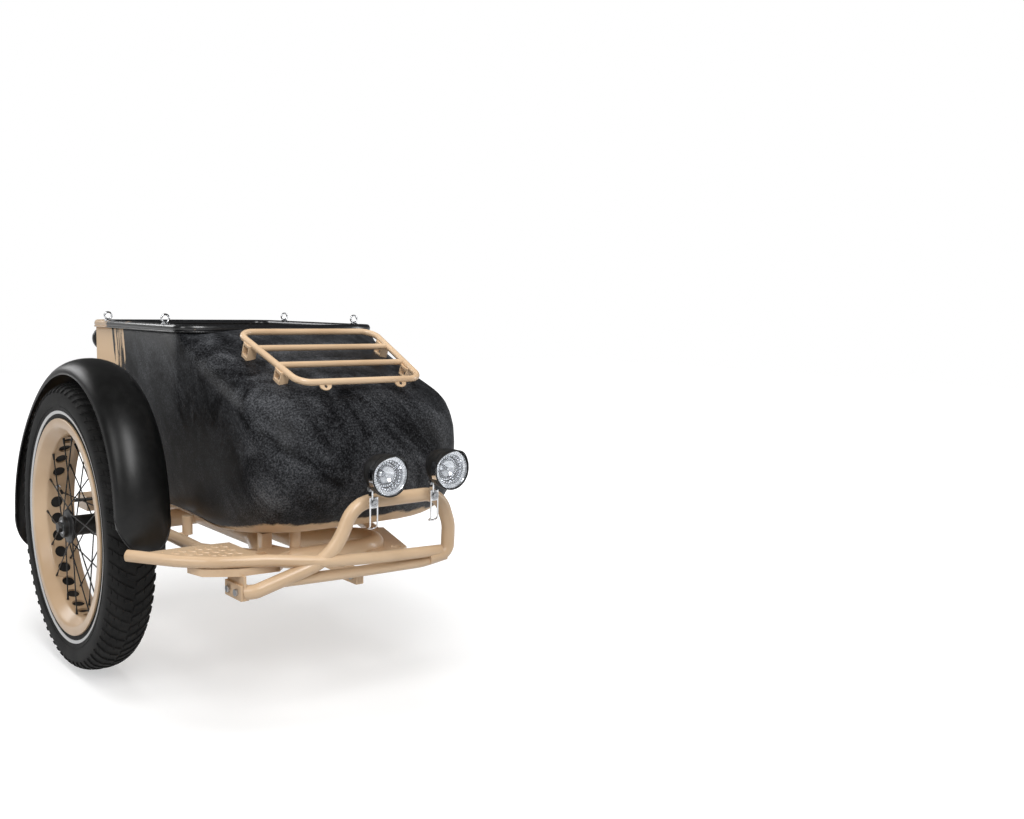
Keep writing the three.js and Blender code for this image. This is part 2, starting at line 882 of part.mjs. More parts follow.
function rackBolt(side, share) {
  const flange = footFlangeTop(side, share);
  const low = -deckBelow(side, share) + footFlange / 2;
  const head = rod(v(0, 0, flange + gap), v(0, 0, flange + gap + rackBoltHeadTall), rackBoltHead);
  const shank = rod(v(0, 0, low), v(0, 0, flange + gap + sheetWeld), rackBoltRadius);
  return onRack(joined(head, shank), rackPoint(side, share));
}

// The wheel turns about an axis along X at the axle's height.
const axle = v(-wheelX, 0, tyreRadius);

function atAxle(geometry) {
  return geometry.translate(...axle.toArray());
}

function tyre() {
  const bead = rimSeat + gap;
  const edge = rimHalfWidth - rimSheet - gap;
  const outer = [
    [bead, -edge],
    [rimRadius + tyreWall, -edge],
    [mix(rimRadius, tyreRadius, 0.36), -tyreHalfWidth],
    [mix(rimRadius, tyreRadius, 0.62), -tyreHalfWidth],
    [mix(rimRadius, tyreRadius, 0.84), -tyreHalfWidth * 0.86],
    [mix(rimRadius, tyreRadius, 0.96), -tyreHalfWidth * 0.5],
    [tyreRadius, 0],
  ];
  const inner = [
    [bead, tyreWall - edge],
    [rimRadius + tyreWall, tyreWall - edge],
    [mix(rimRadius, tyreRadius, 0.5), tyreWall - tyreHalfWidth],
    [mix(rimRadius, tyreRadius, 0.78) - tyreWall / 2, -tyreHalfWidth * 0.76],
    [tyreRadius - 1.5 * tyreWall, 0],
  ];
  const mirror = (rows) => rows.slice(0, -1).map(([radius, along]) => [radius, -along]);
  const right = mirror(outer).reverse();
  const profile = [...outer, ...right, ...mirror(inner), ...[...inner].reverse(), outer[0]];
  return atAxle(turned(profile, wheelSegments, true));
}

function rimPlace(index, radius, along) {
  const angle = ((index + 0.5) * 2 * Math.PI) / rimHoleCount;
  return v(axle.x + along, axle.y + radius * Math.sin(angle), axle.z + radius * Math.cos(angle));
}

function rimBand() {
  const half = [
    [rimRadius, rimHalfWidth],
    [rimRadius, rimHalfWidth - rimSheet],
    [rimSeat, rimHalfWidth - rimSheet],
    [rimSeat - gap, rimHalfWidth / 2 + rimSheet],
    [rimWell, rimHalfWidth / 2],
  ];
  const inside = [
    [rimWell - rimSheet, rimHalfWidth / 2],
    [rimSeat - rimSheet, rimHalfWidth],
  ];
  const mirror = (rows) => rows.map(([radius, along]) => [radius, -along]).reverse();
  const profile = [...half, ...mirror(half), ...mirror(inside), ...inside, half[0]];
  return atAxle(turned(profile, wheelSegments, true));
}

function rim() {
  const holes = [];
  for (let i = 0; i < rimHoleCount; i += 1) {
    const [radius, sides] = i === valvePlace ? [valveRadius + gap, boltSides] : [rimHoleRadius, barSides];
    const [start, end] = [rimPlace(i, rimWell - rimSheet - overrun, 0), rimPlace(i, rimWell + overrun, 0)];
    holes.push(rod(start, end, radius, sides));
  }
  return carved(rimBand(), ...holes);
}

const stripRadius = rimWell + gap + stripThick;

function rimStrip() {
  const inner = stripRadius - stripThick;
  const profile = [
    [inner, -stripHalfWidth],
    [stripRadius, -stripHalfWidth],
    [stripRadius, stripHalfWidth],
    [inner, stripHalfWidth],
    [inner, -stripHalfWidth],
  ];
  const band = atAxle(turned(profile, wheelSegments, true));
  const hole = rod(
    rimPlace(valvePlace, inner - overrun, 0),
    rimPlace(valvePlace, stripRadius + overrun, 0),
    valveRadius + gap,
  );
  return carved(band, hole);
}

function innerTube() {
  const middle = stripRadius + 2 * gap + tubeSection;
  const sides = 8;
  const profile = [];
  for (let i = 0; i <= sides; i += 1) {
    const angle = (i * 2 * Math.PI) / sides;
    profile.push([middle + tubeSection * Math.cos(angle), tubeSection * Math.sin(angle)]);
  }
  const ring = atAxle(turned(profile, wheelSegments, true));
  const tip = rimWell - rimSheet - valveLength;
  return joined(ring, rod(rimPlace(valvePlace, tip, 0), rimPlace(valvePlace, middle, 0), valveRadius));
}

function hubShell() {
  const bore = bearingRadius + gap;
  const [near, far] = [hubFlangeX - hubFlangeThick / 2, hubFlangeX + hubFlangeThick / 2];
  const half = [
    [hubRadius, near],
    [hubFlangeRadius, near],
    [hubFlangeRadius, far],
    [hubRadius, far],
    [hubRadius, hubHalfWidth],
    [bore, hubHalfWidth],
  ];
  const left = half.map(([radius, along]) => [radius, -along]).reverse();
  return atAxle(turned([...left, ...half, left[0]], 16, true));
}

// Crossed spokes run from each hub flange to one side of the row of holes, half a pitch away from a hole.
function spoke(index) {
  const side = index % 2 ? 1 : -1;
  const lead = index % 4 < 2 ? 1 : -1;
  const rimAngle = (index * 2 * Math.PI) / rimHoleCount;
  const hubAngle = rimAngle + lead * spokeCrossing;
  const place = (radius, angle, along) => {
    return v(axle.x + along, axle.y + radius * Math.sin(angle), axle.z + radius * Math.cos(angle));
  };
  const root = hubFlangeX + (lead * hubFlangeThick) / 2;
  const tip = spokeSpread + lead * spokeStagger;
  const inner = place(hubFlangeRadius - spokeRadius * 2, hubAngle, side * root);
  const outer = place(rimWell - rimSheet - gap - spokeRadius / 4, rimAngle, side * tip);
  return rod(inner, outer, spokeRadius, 4);
}

function hubWithSpokes() {
  const spokes = [];
  for (let i = 0; i < rimHoleCount; i += 1) spokes.push(spoke(i));
  return joined(hubShell(), ...spokes);
}

function bearing(side) {
  const inner = spindleRadius + gap;
  const [near, far] = [hubHalfWidth - bearingWidth, hubHalfWidth];
  const profile = [[inner, near], [bearingRadius, near], [bearingRadius, far], [inner, far], [inner, near]];
  const turnedAlong = profile.map(([radius, along]) => [radius, side * along]);
  return atAxle(turned(turnedAlong, 20, true));
}

// The stub axle: a black tube with a flange bolted to the chassis, and the spindle through it and the hub.
const stubOuterX = -wheelX + hubHalfWidth + gap;
const axlePlateX = -railX - railRadius + sheetWeld - axlePlateThick;
const stubInnerX = axlePlateX - gap;

function stubAxle() {
  const barrel = rod(v(stubOuterX, 0, axle.z), v(stubInnerX, 0, axle.z), stubRadius, 20);
  const flange = block(
    v(stubInnerX - stubFlangeThick, -stubFlangeHalf, axle.z - stubFlangeHalf / 2),
    v(stubInnerX, stubFlangeHalf, axle.z + stubFlangeHalf / 2),
  );
  const bore = rod(v(stubOuterX - overrun, 0, axle.z), v(stubOuterX + stubSocket, 0, axle.z), stubBore);
  return carved(joined(barrel, flange), bore, ...stubBoltHoles());
}

function stubBoltHoles() {
  return [-1, 1].map((side) => {
    const y = side * stubBoltOffset;
    const start = stubInnerX - stubFlangeThick - overrun;
    const end = v(axlePlateX + axlePlateThick + overrun, y, axle.z);
    return rod(v(start, y, axle.z), end, clampBoltRadius + gap);
  });
}

function stubBolt(side) {
  const y = side * stubBoltOffset;
  const face = stubInnerX - stubFlangeThick - gap;
  const head = rod(v(face - clampHeadTall, y, axle.z), v(face, y, axle.z), clampHeadRadius);
  const end = axlePlateX + axlePlateThick;
  return joined(head, rod(v(face - sheetWeld, y, axle.z), v(end, y, axle.z), clampBoltRadius));
}

function spindle() {
  const outer = -wheelX - hubHalfWidth - axleNutThick;
  const collar = rod(v(stubOuterX, 0, axle.z), v(stubOuterX + stubSocket - gap, 0, axle.z), stubBore - gap);
  return joined(rod(v(outer, 0, axle.z), v(stubOuterX + gap, 0, axle.z), spindleRadius, 16), collar);
}

function axleNut() {
  const face = -wheelX - hubHalfWidth - gap;
  const nut = rod(v(face - axleNutThick, 0, axle.z), v(face, 0, axle.z), axleNutRadius, 6);
  const [start, end] = [v(face - axleNutThick - overrun, 0, axle.z), v(face + overrun, 0, axle.z)];
  return carved(nut, rod(start, end, spindleRadius + gap, 16));
}

// How far the fender's arch leaves a round one: out at its front shoulder and rear end,
// in between them and at its front end.
function sway(angle) {
  const growth = 1 + fenderSwayGrowth * (angle / (Math.PI / 2)) ** 2;
  return -fenderSway * Math.sin(3 * angle) * growth;
}

// A place on the fender's arch: how far out across it, and how far round from its top,
// forward being negative.
function onFender(across, radius, angle) {
  const reach = radius + sway(angle);
  const y = reach * Math.sin(angle) - fenderForward;
  return v(across - fenderX, y, fenderCentreZ + reach * Math.cos(angle));
}

// The fender: an oval section swept along the arch, with rounded ends.
function fender() {
  const sides = 8;
  const section = (depth, half) => {
    const row = [];
    for (let i = 0; i <= sides; i += 1) {
      const angle = (i * Math.PI) / sides;
      const radius = fenderRadius - fenderDepth + depth * Math.sin(angle);
      row.push(new THREE.Vector2(-half * Math.cos(angle), radius));
    }
    return row;
  };
  const outer = section(fenderDepth, fenderHalfWidth);
  const inner = section(fenderDepth - fenderThick, fenderHalfWidth - fenderThick);
  const outline = [...outer, ...inner.reverse()];
  const rings = [];
  for (let i = 0; i <= fenderSteps; i += 1) {
    rings.push(outline.map((p) => {
      const tip = fenderTipAngle * (1 - Math.sqrt(Math.max(0, 1 - (p.x / fenderHalfWidth) ** 2)));
      return onFender(p.x, p.y, mix(tip - fenderFrontAngle, fenderRearAngle - tip, i / fenderSteps));
    }));
  }
  return loft(rings, outline);
}

const stayTop = railZ + railRadius + gap + stayThick;

// The rear stay: an upright strip against the fender's inner edge, bent into a tongue over the outer rail.
function rearStay() {
  const edge = onFender(fenderHalfWidth + gap, fenderRadius - fenderDepth, stayRearAngle);
  const [low, high] = [stayTop - stayThick, Math.max(edge.z + stayWidth / 2, stayTop)];
  const [rear, front] = [edge.y + stayWidth / 2, edge.y - stayWidth / 2];
  const upright = block(v(edge.x, front, low), v(edge.x + stayThick, rear, high));
  const tongue = block(v(edge.x, front, low), v(railRadius - railX, rear, stayTop));
  return joined(upright, tongue);
}

// The front stay: a strip over the outer rail that ends in a tab behind the fender's front end.
function frontStay() {
  const top = stayTop + panWall / 2;
  const low = top - stayThick;
  const strip = block(
    v(-stayFrontX, -stayFrontY - stayWidth / 2, low),
    v(railRadius - railX, -stayFrontY + stayWidth / 2, top),
  );
  const crown = fenderRadius + sway(-Math.PI / 2);
  const tabFront = -fenderForward - crown + fenderDepth * stayTabShare;
  const tab = block(
    v(-stayFrontX - stayTabHalf, tabFront, low),
    v(-stayFrontX + stayTabHalf, tabFront + stayThick * 2, top + stayTabTall),
  );
  return joined(strip, tab);
}

// Chassis tubes under the tub.
function outerRail() {
  const corners = [
    v(-railX, rearMemberFront + weldLap, railZ),
    v(-railX, -hairpinStraight, railZ),
    v(-railX - railRadius, -railFront - weldLap, railZ + panWall),
  ];
  return tube(corners, hairpinBend, railRadius);
}

function hairpin(clearance = 0) {
  const back = hairpinTurnRadius * 2 - hairpinFront;
  const corners = [
    v(-hairpinLegX, rearMemberFront + weldLap, hairpinZ),
    v(-hairpinLegX, -hairpinStraight, hairpinZ),
    v(-hairpinFlareX, -hairpinFlareY, hairpinZ),
    v(-hairpinFlareX + hairpinRadius, -hairpinFront, hairpinZ),
    v(hairpinTurnX + hairpinTurnRadius, -hairpinFront, hairpinZ),
    v(hairpinTurnX + hairpinTurnRadius, back, hairpinZ),
    v(-hairpinReturnX, back, hairpinZ),
    v(-hairpinReturnX, armY + weldLap, hairpinZ),
  ];
  const turn = hairpinTurnRadius;
  const bends = [hairpinBend, hairpinBend / 2, hairpinBend / 2, turn, turn, hairpinRadius * 2];
  return tube(corners, bends, hairpinRadius + clearance);
}

function crossArm() {
  const corners = [
    v(-railX, armY, hairpinZ),
    v(armKinkX, armY, hairpinZ),
    v((armKinkX + couplingX) / 2, armY, couplingZ),
    v(couplingX - couplingThick - gap, armY, couplingZ),
  ];
  return tube(corners, [armBend, hairpinRadius * 1.4], hairpinRadius);
}

function rearMember() {
  const low = rearMemberTop - rearMemberTall;
  return block(v(-rearMemberX, rearMemberFront, low), v(tubHalfWidth, rearMemberRear, rearMemberTop));
}

function saddles() {
  return tubBolts.map(([x, y]) => {
    return block(v(x - saddleHalf, y - saddleHalf, hairpinZ), v(x + saddleHalf, y + saddleHalf, saddleTop));
  });
}

// Posts run up to the tub's floor and are trimmed to it.
function posts() {
  const lift = overrun * 2;
  return [
    rod(v(-firstPostX, -firstPostY, railZ), v(-firstPostX, -firstPostY, tubFloor + lift), postRadius),
    rod(v(-railX, -firstPostY, railZ), v(-firstPostX, -firstPostY, railZ), postRadius / 2),
    block(
      v(-lugPostX - lugPostHalf, -lugPostY - lugPostHalf, hairpinZ),
      v(-lugPostX + lugPostHalf, -lugPostY + lugPostHalf, tubFloor + lift),
    ),
    rod(v(-thirdPostX, -thirdPostY, hairpinZ), v(-thirdPostX, -thirdPostY, tubFloor + 2 * lift), postRadius),
  ];
}

// The coupling plate stands out of the hairpin's turn, and a strut runs from it to the cross arm.
function couplingPlate() {
  const low = tubFloor - plateDrop - plateThick;
  const tipX = hairpinTurnX + hairpinTurnRadius * 2.5;
  const outline = [
    [hairpinTurnX, -hairpinFront],
    [hairpinTurnX + postRadius, -plateHoleY - plateHoleRadius * 2],
    [plateHoleX, -plateHoleY - plateHoleRadius * 2.7],
    [plateHoleX + plateHoleRadius * 2, -plateHoleY - plateHoleRadius],
    [tipX, -hairpinFront + hairpinTurnRadius * 2.5],
    [tipX - plateHoleRadius * 5, -hairpinFront + hairpinTurnRadius * 2.9],
    [hairpinTurnX + hairpinTurnRadius, -hairpinFront + hairpinTurnRadius * 1.5],
    [hairpinTurnX + hairpinTurnRadius * Math.SQRT1_2, -hairpinFront + hairpinTurnRadius * (1 - Math.SQRT1_2)],
  ];
  const hole = rod(
    v(plateHoleX, -plateHoleY, low - overrun),
    v(plateHoleX, -plateHoleY, low + plateThick + overrun),
    plateHoleRadius,
    16,
  );
  return carved(sheet(outline, low, low + plateThick), hole, hairpin(gap), strut(gap));
}

// The strut runs from the coupling plate back to the cross arm.
function strut(clearance = 0) {
  const tipX = hairpinTurnX + hairpinTurnRadius * 2.5;
  const low = tubFloor - plateDrop - plateThick;
  const start = v(tipX - strutRadius * 2, -hairpinFront + hairpinTurnRadius * 2.5, low + plateThick / 2);
  return rod(start, v(armKinkX - hairpinRadius, armY, hairpinZ), strutRadius + clearance, tubeSides);
}

function couplingFlange() {
  const flange = block(
    v(couplingX - couplingThick, armY - couplingHalfWide, couplingZ - couplingHalfTall),
    v(couplingX, armY + couplingHalfWide, couplingZ + couplingHalfTall),
  );
  const holes = [-1, 1].map((side) => {
    const y = armY + side * couplingHoleOffset;
    const start = v(couplingX - couplingThick - overrun, y, couplingZ);
    return rod(start, v(couplingX + overrun, y, couplingZ), couplingHole);
  });
  return carved(flange, ...holes);
}

// The step's pan: a shallow open tray under the step plate, on the outer rail's front end.
const panOutline = [
  [-railX - tubHalfWidth * 0.44, -railFront - stepTubeRadius * 2],
  [-railX - tubHalfWidth * 0.4, -railFront - stepTubeRadius * 6],
  [-railX - tubHalfWidth * 0.18, -railFront - stepTubeRadius * 9.2],
  [-railX + tubHalfWidth * 0.15, -railFront - stepTubeRadius * 10],
  [-railX + tubHalfWidth * 0.25, -railFront - stepTubeRadius * 7.5],
  [-railX + tubHalfWidth * 0.25, -railFront],
  [-railX - tubHalfWidth * 0.3, -railFront],
];

function shrunk(outline, inset) {
  const x = outline.reduce((sum, p) => sum + p[0], 0) / outline.length;
  const y = outline.reduce((sum, p) => sum + p[1], 0) / outline.length;
  return outline.map((p) => {
    const away = Math.hypot(p[0] - x, p[1] - y);
    return [mix(p[0], x, inset / away), mix(p[1], y, inset / away)];
  });
}

const panPosts = [
  [-railX - tubHalfWidth * 0.25, -railFront - stepTubeRadius * 3],
  [-railX + tubHalfWidth * 0.02, -railFront - stepTubeRadius * 3],
];

function stepPan() {
  const tray = carved(
    sheet(panOutline, panFloor, panFloor + panTall),
    sheet(shrunk(panOutline, panWall * 1.4), panFloor + panWall, panFloor + panTall + overrun),
  );
  const gusset = sheet(
    [
      [-railX + tubHalfWidth * 0.2, -railFront - stepTubeRadius * 3],
      [-hairpinFlareX + hairpinRadius, -hairpinFront],
      [-hairpinFlareX, -hairpinFlareY],
      [-railX + tubHalfWidth * 0.2, -railFront + stepTubeRadius],
    ],
    panFloor,
    panFloor + panWall * 2,
  );
  const feet = panPosts.map(([x, y]) => {
    return rod(v(x, y, panFloor + sheetWeld), v(x, y, stepTop - stepSheet - gap), panPostRadius);
  });
  return joined(tray, gusset, ...feet);
}

function brace() {
  const from = v(-railX, -hairpinStraight - hairpinBend, railZ);
  const to = v(-hairpinFlareX, -hairpinFlareY - hairpinRadius * 2, hairpinZ);
  return rod(from, to, braceRadius, tubeSides);
}

function axlePlate() {
  const low = Math.min(railZ - railRadius, axle.z - stubFlangeHalf / 2);
  const high = Math.max(railZ, axle.z + stubFlangeHalf / 2);
  return carved(
    block(
      v(axlePlateX, -stubFlangeHalf - overrun, low),
      v(axlePlateX + axlePlateThick, stubFlangeHalf + overrun, high),
    ),
    ...stubBoltHoles(),
  );
}

// Clamp stack, from the outside: clamp plate, chassis lug, bumper end plate.
function clampLayer(index, layer, low, high, extra = 0) {
  const start = clampX[index] + layer * (clampSheet + gap);
  const front = -clampFront[index];
  return block(v(start, front - extra, low), v(start + clampSheet, front + clampLength, high));
}

function clampBoltPlaces(index) {
  const front = -clampFront[index];
  return [front + clampBoltInset, front + clampLength - clampBoltInset];
}

const clampBottom = clampTop - clampTall;
const clampMiddle = clampTop - clampTall / 2;

function clampHoles(index) {
  return clampBoltPlaces(index).map((y) => {
    const start = clampX[index] - overrun;
    const end = clampX[index] + 3 * clampSheet + 2 * gap + overrun;
    return rod(v(start, y, clampMiddle), v(end, y, clampMiddle), clampBoltRadius + gap);
  });
}

function clampPlate(index) {
  return carved(clampLayer(index, 0, clampBottom, clampTop), ...clampHoles(index));
}

function clampBolt(index, y) {
  const face = clampX[index] - gap;
  const end = clampX[index] + 3 * clampSheet + 2 * gap;
  const head = rod(v(face - clampHeadTall, y, clampMiddle), v(face, y, clampMiddle), clampHeadRadius);
  return joined(head, rod(v(face - sheetWeld, y, clampMiddle), v(end, y, clampMiddle), clampBoltRadius));
}

// The lug under the step's pan, and the one on an arm in front of the hairpin.
function chassisLugs() {
  const first = clampLayer(0, 1, clampBottom, panFloor + sheetWeld);
  const second = clampLayer(1, 1, clampBottom, clampTop);
  const start = clampX[1] + clampSheet + gap;
  const arm = block(
    v(start, -clampFront[1] + clampLength - weldLap, clampBottom + clampTall / 4),
    v(start + clampSheet, -hairpinFront, clampTop),
  );
  return [first, second, arm];
}

function chassisFrame() {
  const welded = joined(
    outerRail(),
    hairpin(),
    crossArm(),
    rearMember(),
    ...saddles(),
    ...posts(),
    strut(),
    stepPan(),
    brace(),
    axlePlate(),
    ...chassisLugs(),
  );
  return carved(welded, tubForm(-gap), ...boltHoles(), ...clampHoles(0), ...clampHoles(1));
}

// The bumper frame: hoop, step tube and lower run, with an end plate at each clamp.
const stepTubeCorners = [
  v(-wheelX - tyreHalfWidth + stepSheet, -railFront + stepTubeRadius * 5, stepTop),
  v(-railX - tubHalfWidth * 0.53, -railFront - stepTubeRadius * 2, stepTop - stepSheet),
  v(-railX - tubHalfWidth * 0.33, -railFront - stepTubeRadius * 6.6, stepTop - stepSheet),
  v(-railX + stepTubeRadius, -hoopFront + stepTubeRadius * 4.4, stepTop - stepSheet),
  v(-hairpinFlareX + stepTubeRadius, -hoopFront + stepTubeRadius * 0.6, stepTop - stepTubeRadius),
  v(-hairpinReturnX, -hoopFront, stepTop - stepTubeRadius * 1.5),
  v(hoopRightX - hoopRadius * 1.5, -hoopFront, stepTop - stepTubeRadius * 2),
];
const lowerRunZ = clampTop + sheetWeld;

function hoop() {
  const corners = [
    v(clampX[0] + 2 * clampSheet, -clampFront[0] + hoopRadius * 0.8, clampMiddle - sheetWeld),
    v(clampX[0] + 2 * hoopRadius, -clampFront[0] - hoopRadius * 0.4, clampMiddle + weldLap),
    v(-hoopHalf * 1.42, -hoopFront + hoopRadius * 0.8, mix(clampMiddle, hoopTop, 0.34)),
    v(-hoopHalf, -hoopFront, hoopTop),
    v(hoopHalf, -hoopFront, hoopTop),
    v(hoopRightX, -hoopFront, mix(clampTop, hoopTop, 0.53)),
    v(hoopRightX - weldLap, -hoopFront, clampTop + hoopRadius * 1.2),
    v(hoopRightX - 3.4 * hoopRadius, -hoopFront + weldLap * 2, clampTop + hoopRadius * 0.7),
  ];
  const bends = [hoopRadius * 1.5, hoopLegBend, hoopBend, hoopBend, hoopBend, hoopRadius * 1.6];
  return tube(corners, bends, hoopRadius);
}

function lowerRun() {
  const corners = [
    v(clampX[0] + 4 * hoopRadius, -clampFront[0] - hoopRadius, lowerRunZ),
    v(clampX[1] - 2 * lowerRunRadius, -hoopFront + 2 * lowerRunRadius, lowerRunZ),
    v(-clampX[1] - lowerRunRadius, -hoopFront + lowerRunRadius, lowerRunZ),
    v(hoopRightX - hoopRadius / 2, -hoopFront, lowerRunZ + lowerRunRadius),
  ];
  return tube(corners, stepBend, lowerRunRadius);
}

function lampBoss(side) {
  const x = lampAt(side);
  return rod(v(x, -hoopFront, hoopTop), v(x, -hoopFront - hoopRadius - bossProud, hoopTop), bossRadius, 14);
}

function bumperFrame() {
  const faceX = clampX[0] + 2 * (clampSheet + gap);
  const spare = block(
    v(clampX[0] - 4 * overrun, -clampFront[0] - 4 * overrun, clampBottom - 2 * overrun),
    v(faceX, -clampFront[0] + clampLength + overrun, clampTop + overrun),
  );
  const secondPlate = clampLayer(1, 2, clampBottom, clampTop, lowerRunRadius);
  const hoopOnly = carved(hoop(), spare);
  const welded = joined(
    hoopOnly,
    tube(stepTubeCorners, stepBend, stepTubeRadius),
    lowerRun(),
    clampLayer(0, 2, clampBottom, clampTop),
    secondPlate,
    lampBoss(-1),
    lampBoss(1),
  );
  return carved(welded, ...clampHoles(0), ...clampHoles(1), strapBoltHole(-1), strapBoltHole(1));
}

// The step plate butts against the step tube and rests on the pan's feet.
function stepPlate() {
  const outer = stepTubeCorners[0];
  const inner = -railX + stepTubeRadius;
  const outline = [
    [outer.x + stepTubeRadius, -stepRear],
    [-fenderX + fenderHalfWidth, -stepRear],
    [inner, -stepRear - stepTubeRadius],
    [inner, stepTubeCorners[3].y],
    [stepTubeCorners[2].x, stepTubeCorners[2].y],
    [stepTubeCorners[1].x, stepTubeCorners[1].y],
    [outer.x, outer.y],
  ];
  const plate = sheet(outline, stepTop - stepSheet, stepTop);
  return carved(plate, tube(stepTubeCorners, stepBend, stepTubeRadius + gap));
}

// Headlamps. Each tilts about a bolt through its foot and the ear of its strap.
function lampAt(side) {
  return side * lampX + lampShift;
}

const hoodStart = -lampLensY - hoodReach;

function lampHousing(side) {
  const [front, back] = [-lampLensY, -lampLensY + lampDepth];
  const inner = lampRadius - lampShell;
  const profile = [
    [0, back],
    [lampRadius * 0.36, back - lampDepth * 0.05],
    [lampRadius * 0.7, back - lampDepth * 0.22],
    [lampRadius * 0.92, back - lampDepth * 0.5],
    [lampRadius, back - lampDepth * 0.8],
    [lampRadius, front],
    [inner, front],
    [inner, back - lampDepth * 0.78],
    [lampRadius * 0.8, back - lampDepth * 0.45],
    [0, back - lampDepth * 0.25],
  ];
  const shell = turned(profile, lampSegments, false).translate(0, 0, lampZ);
  const pivot = v(0, -pivotY, pivotZ);
  const aside = v(lampLug / 2, 0, 0);
  const knuckle = rod(pivot.clone().sub(aside), pivot.clone().add(aside), lampLugRadius);
  const web = block(
    v(-lampLug / 2, -pivotY - lampLugRadius, pivotZ),
    v(lampLug / 2, -pivotY + lampLugRadius, lampZ - lampRadius * 0.6),
  );
  const [left, right] = [-overrun, overrun].map((x) => pivot.clone().add(v(x, 0, 0)));
  const hole = rod(left, right, pivotRadius + gap);
  return carved(joined(shell, hood(), knuckle, web), hole).translate(lampAt(side), 0, 0);
}

// The hood: the top half of a ring that reaches forward over the lens.
function hood() {
  const ring = turned(
    [
      [lampRadius - hoodThick, -lampLensY + weldLap],
      [lampRadius, -lampLensY + weldLap],
      [lampRadius, hoodStart],
      [lampRadius - hoodThick, hoodStart],
      [lampRadius - hoodThick, -lampLensY + weldLap],
    ],
    lampSegments,
    false,
  ).translate(0, 0, lampZ);
  const width = lampRadius + overrun;
  const slant = new THREE.Shape([
    new THREE.Vector2(-lampLensY + weldLap, lampZ - width),
    new THREE.Vector2(-lampLensY + weldLap, lampZ),
    new THREE.Vector2(hoodStart, lampZ + lampRadius * 0.55),
    new THREE.Vector2(hoodStart - overrun, lampZ + lampRadius * 0.55),
    new THREE.Vector2(hoodStart - overrun, lampZ - width),
  ]);
  const below = new THREE.ExtrudeGeometry(slant, { depth: 2 * width, bevelEnabled: false });
  below.applyMatrix4(new THREE.Matrix4().makeBasis(v(0, 1, 0), v(0, 0, 1), v(1, 0, 0)));
  return carved(ring, below.translate(-width, 0, 0));
}

function lampLens(side) {
  const front = -lampLensY + lampLensSet;
  const radius = lampRadius - lampShell - gap;
  const [edge, back] = [front + lampLensSet, front + lampLensThick];
  const profile = [[0, front], [radius, edge], [radius, back], [0, back]];
  return turned(profile, lampSegments, false).translate(lampAt(side), 0, lampZ);
}

function lampReflector(side) {
  const front = -lampLensY + lampLensSet + lampLensThick + gap;
  const radius = lampRadius * 0.78;
  const profile = [
    [0, front + reflectorDepth],
    [radius * 0.5, front + reflectorDepth * 0.86],
    [radius, front + reflectorWall],
    [lampRadius - lampShell - gap, front + reflectorWall],
    [lampRadius - lampShell - gap, front],
    [radius - reflectorWall, front],
    [radius * 0.46, front + reflectorDepth * 0.8 - reflectorWall],
    [reflectorBulb, front + reflectorDepth * 0.86 - reflectorWall],
    [reflectorBulb, front + reflectorDepth * 0.4],
    [0, front + reflectorDepth * 0.4],
  ];
  return turned(profile, lampSegments, false).translate(lampAt(side), 0, lampZ);
}

const strapBack = -hoopFront - hoopRadius - bossProud - gap;

function strapBoltHole(side) {
  const x = lampAt(side);
  const end = v(x, strapBack + gap + strapBoltDepth, hoopTop);
  return rod(v(x, strapBack - overrun, hoopTop), end, strapBoltRadius + gap);
}

// The strap: a slotted strip with a rounded lower end, and an ear beside the lamp's foot.
function strapBracket(side) {
  const x = lampAt(side);
  const front = strapBack - strapThick;
  const rounding = strapBottom + strapHalfWidth;
  const earLow = hoopTop + hoopRadius + gap;
  const high = v(x + strapHalfWidth, strapBack, earLow + weldLap);
  const strip = block(v(x - strapHalfWidth, front, rounding), high);
  const end = rod(v(x, front, rounding), v(x, strapBack, rounding), strapHalfWidth, 16);
  const slot = block(
    v(x - strapSlotHalf, front - overrun, strapBottom + strapEdge),
    v(x + strapSlotHalf, strapBack + overrun, strapSlotTop),
  );
  const earX = x - lampLug / 2 - gap - strapThick;
  const ear = block(
    v(earX, Math.min(front, -pivotY - lampLugRadius), earLow),
    v(earX + strapThick, -pivotY + lampLugRadius, pivotZ + pivotHead),
  );
  const pin = rod(v(x - 2 * overrun, -pivotY, pivotZ), v(x + overrun, -pivotY, pivotZ), pivotRadius + gap);
  return carved(joined(strip, end, ear), slot, pin, strapBoltHole(side));
}

function pivotBolt(side) {
  const earFace = lampAt(side) - lampLug / 2 - 2 * gap - strapThick;
  const end = lampAt(side) + lampLug / 2 + pivotHeadTall;
  const head = rod(v(earFace - pivotHeadTall, -pivotY, pivotZ), v(earFace, -pivotY, pivotZ), pivotHead);
  const shank = rod(v(earFace - sheetWeld, -pivotY, pivotZ), v(end, -pivotY, pivotZ), pivotRadius);
  return joined(head, shank);
}

function strapBolt(side) {
  const x = lampAt(side);
  const face = strapBack - strapThick - gap;
  const head = rod(v(x, face - strapBoltHeadTall, hoopTop), v(x, face, hoopTop), strapBoltHead);
  const tip = v(x, strapBack + strapBoltDepth, hoopTop);
  const shank = rod(v(x, face - sheetWeld, hoopTop), tip, strapBoltRadius);
  return joined(head, shank);
}

// Finishes
const finish = (color, roughness, metalness) => ({ color, roughness, metalness });
const sandPaint = finish("#d9b48a", 0.38, 0.1);
const tubPaint = finish("#26272a", 0.35, 0.1);
const blackGloss = finish("#0b0b0c", 0.2, 0);
const blackPlastic = finish("#111214", 0.45, 0);
const rubber = finish("#16171a", 0.8, 0);
const chrome = finish("#d8dadd", 0.15, 1);
const steel = finish("#9a9da1", 0.35, 1);
const clear = finish("#e8eef2", 0.08, 0);
const plywood = finish("#8a6a45", 0.7, 0);
const leather = finish("#2b2320", 0.6, 0);

const sidecar = new THREE.Group();
const pieces = new THREE.Group();
sidecar.add(pieces);
pieces.position.set(-couplingX, -armY, -couplingZ);

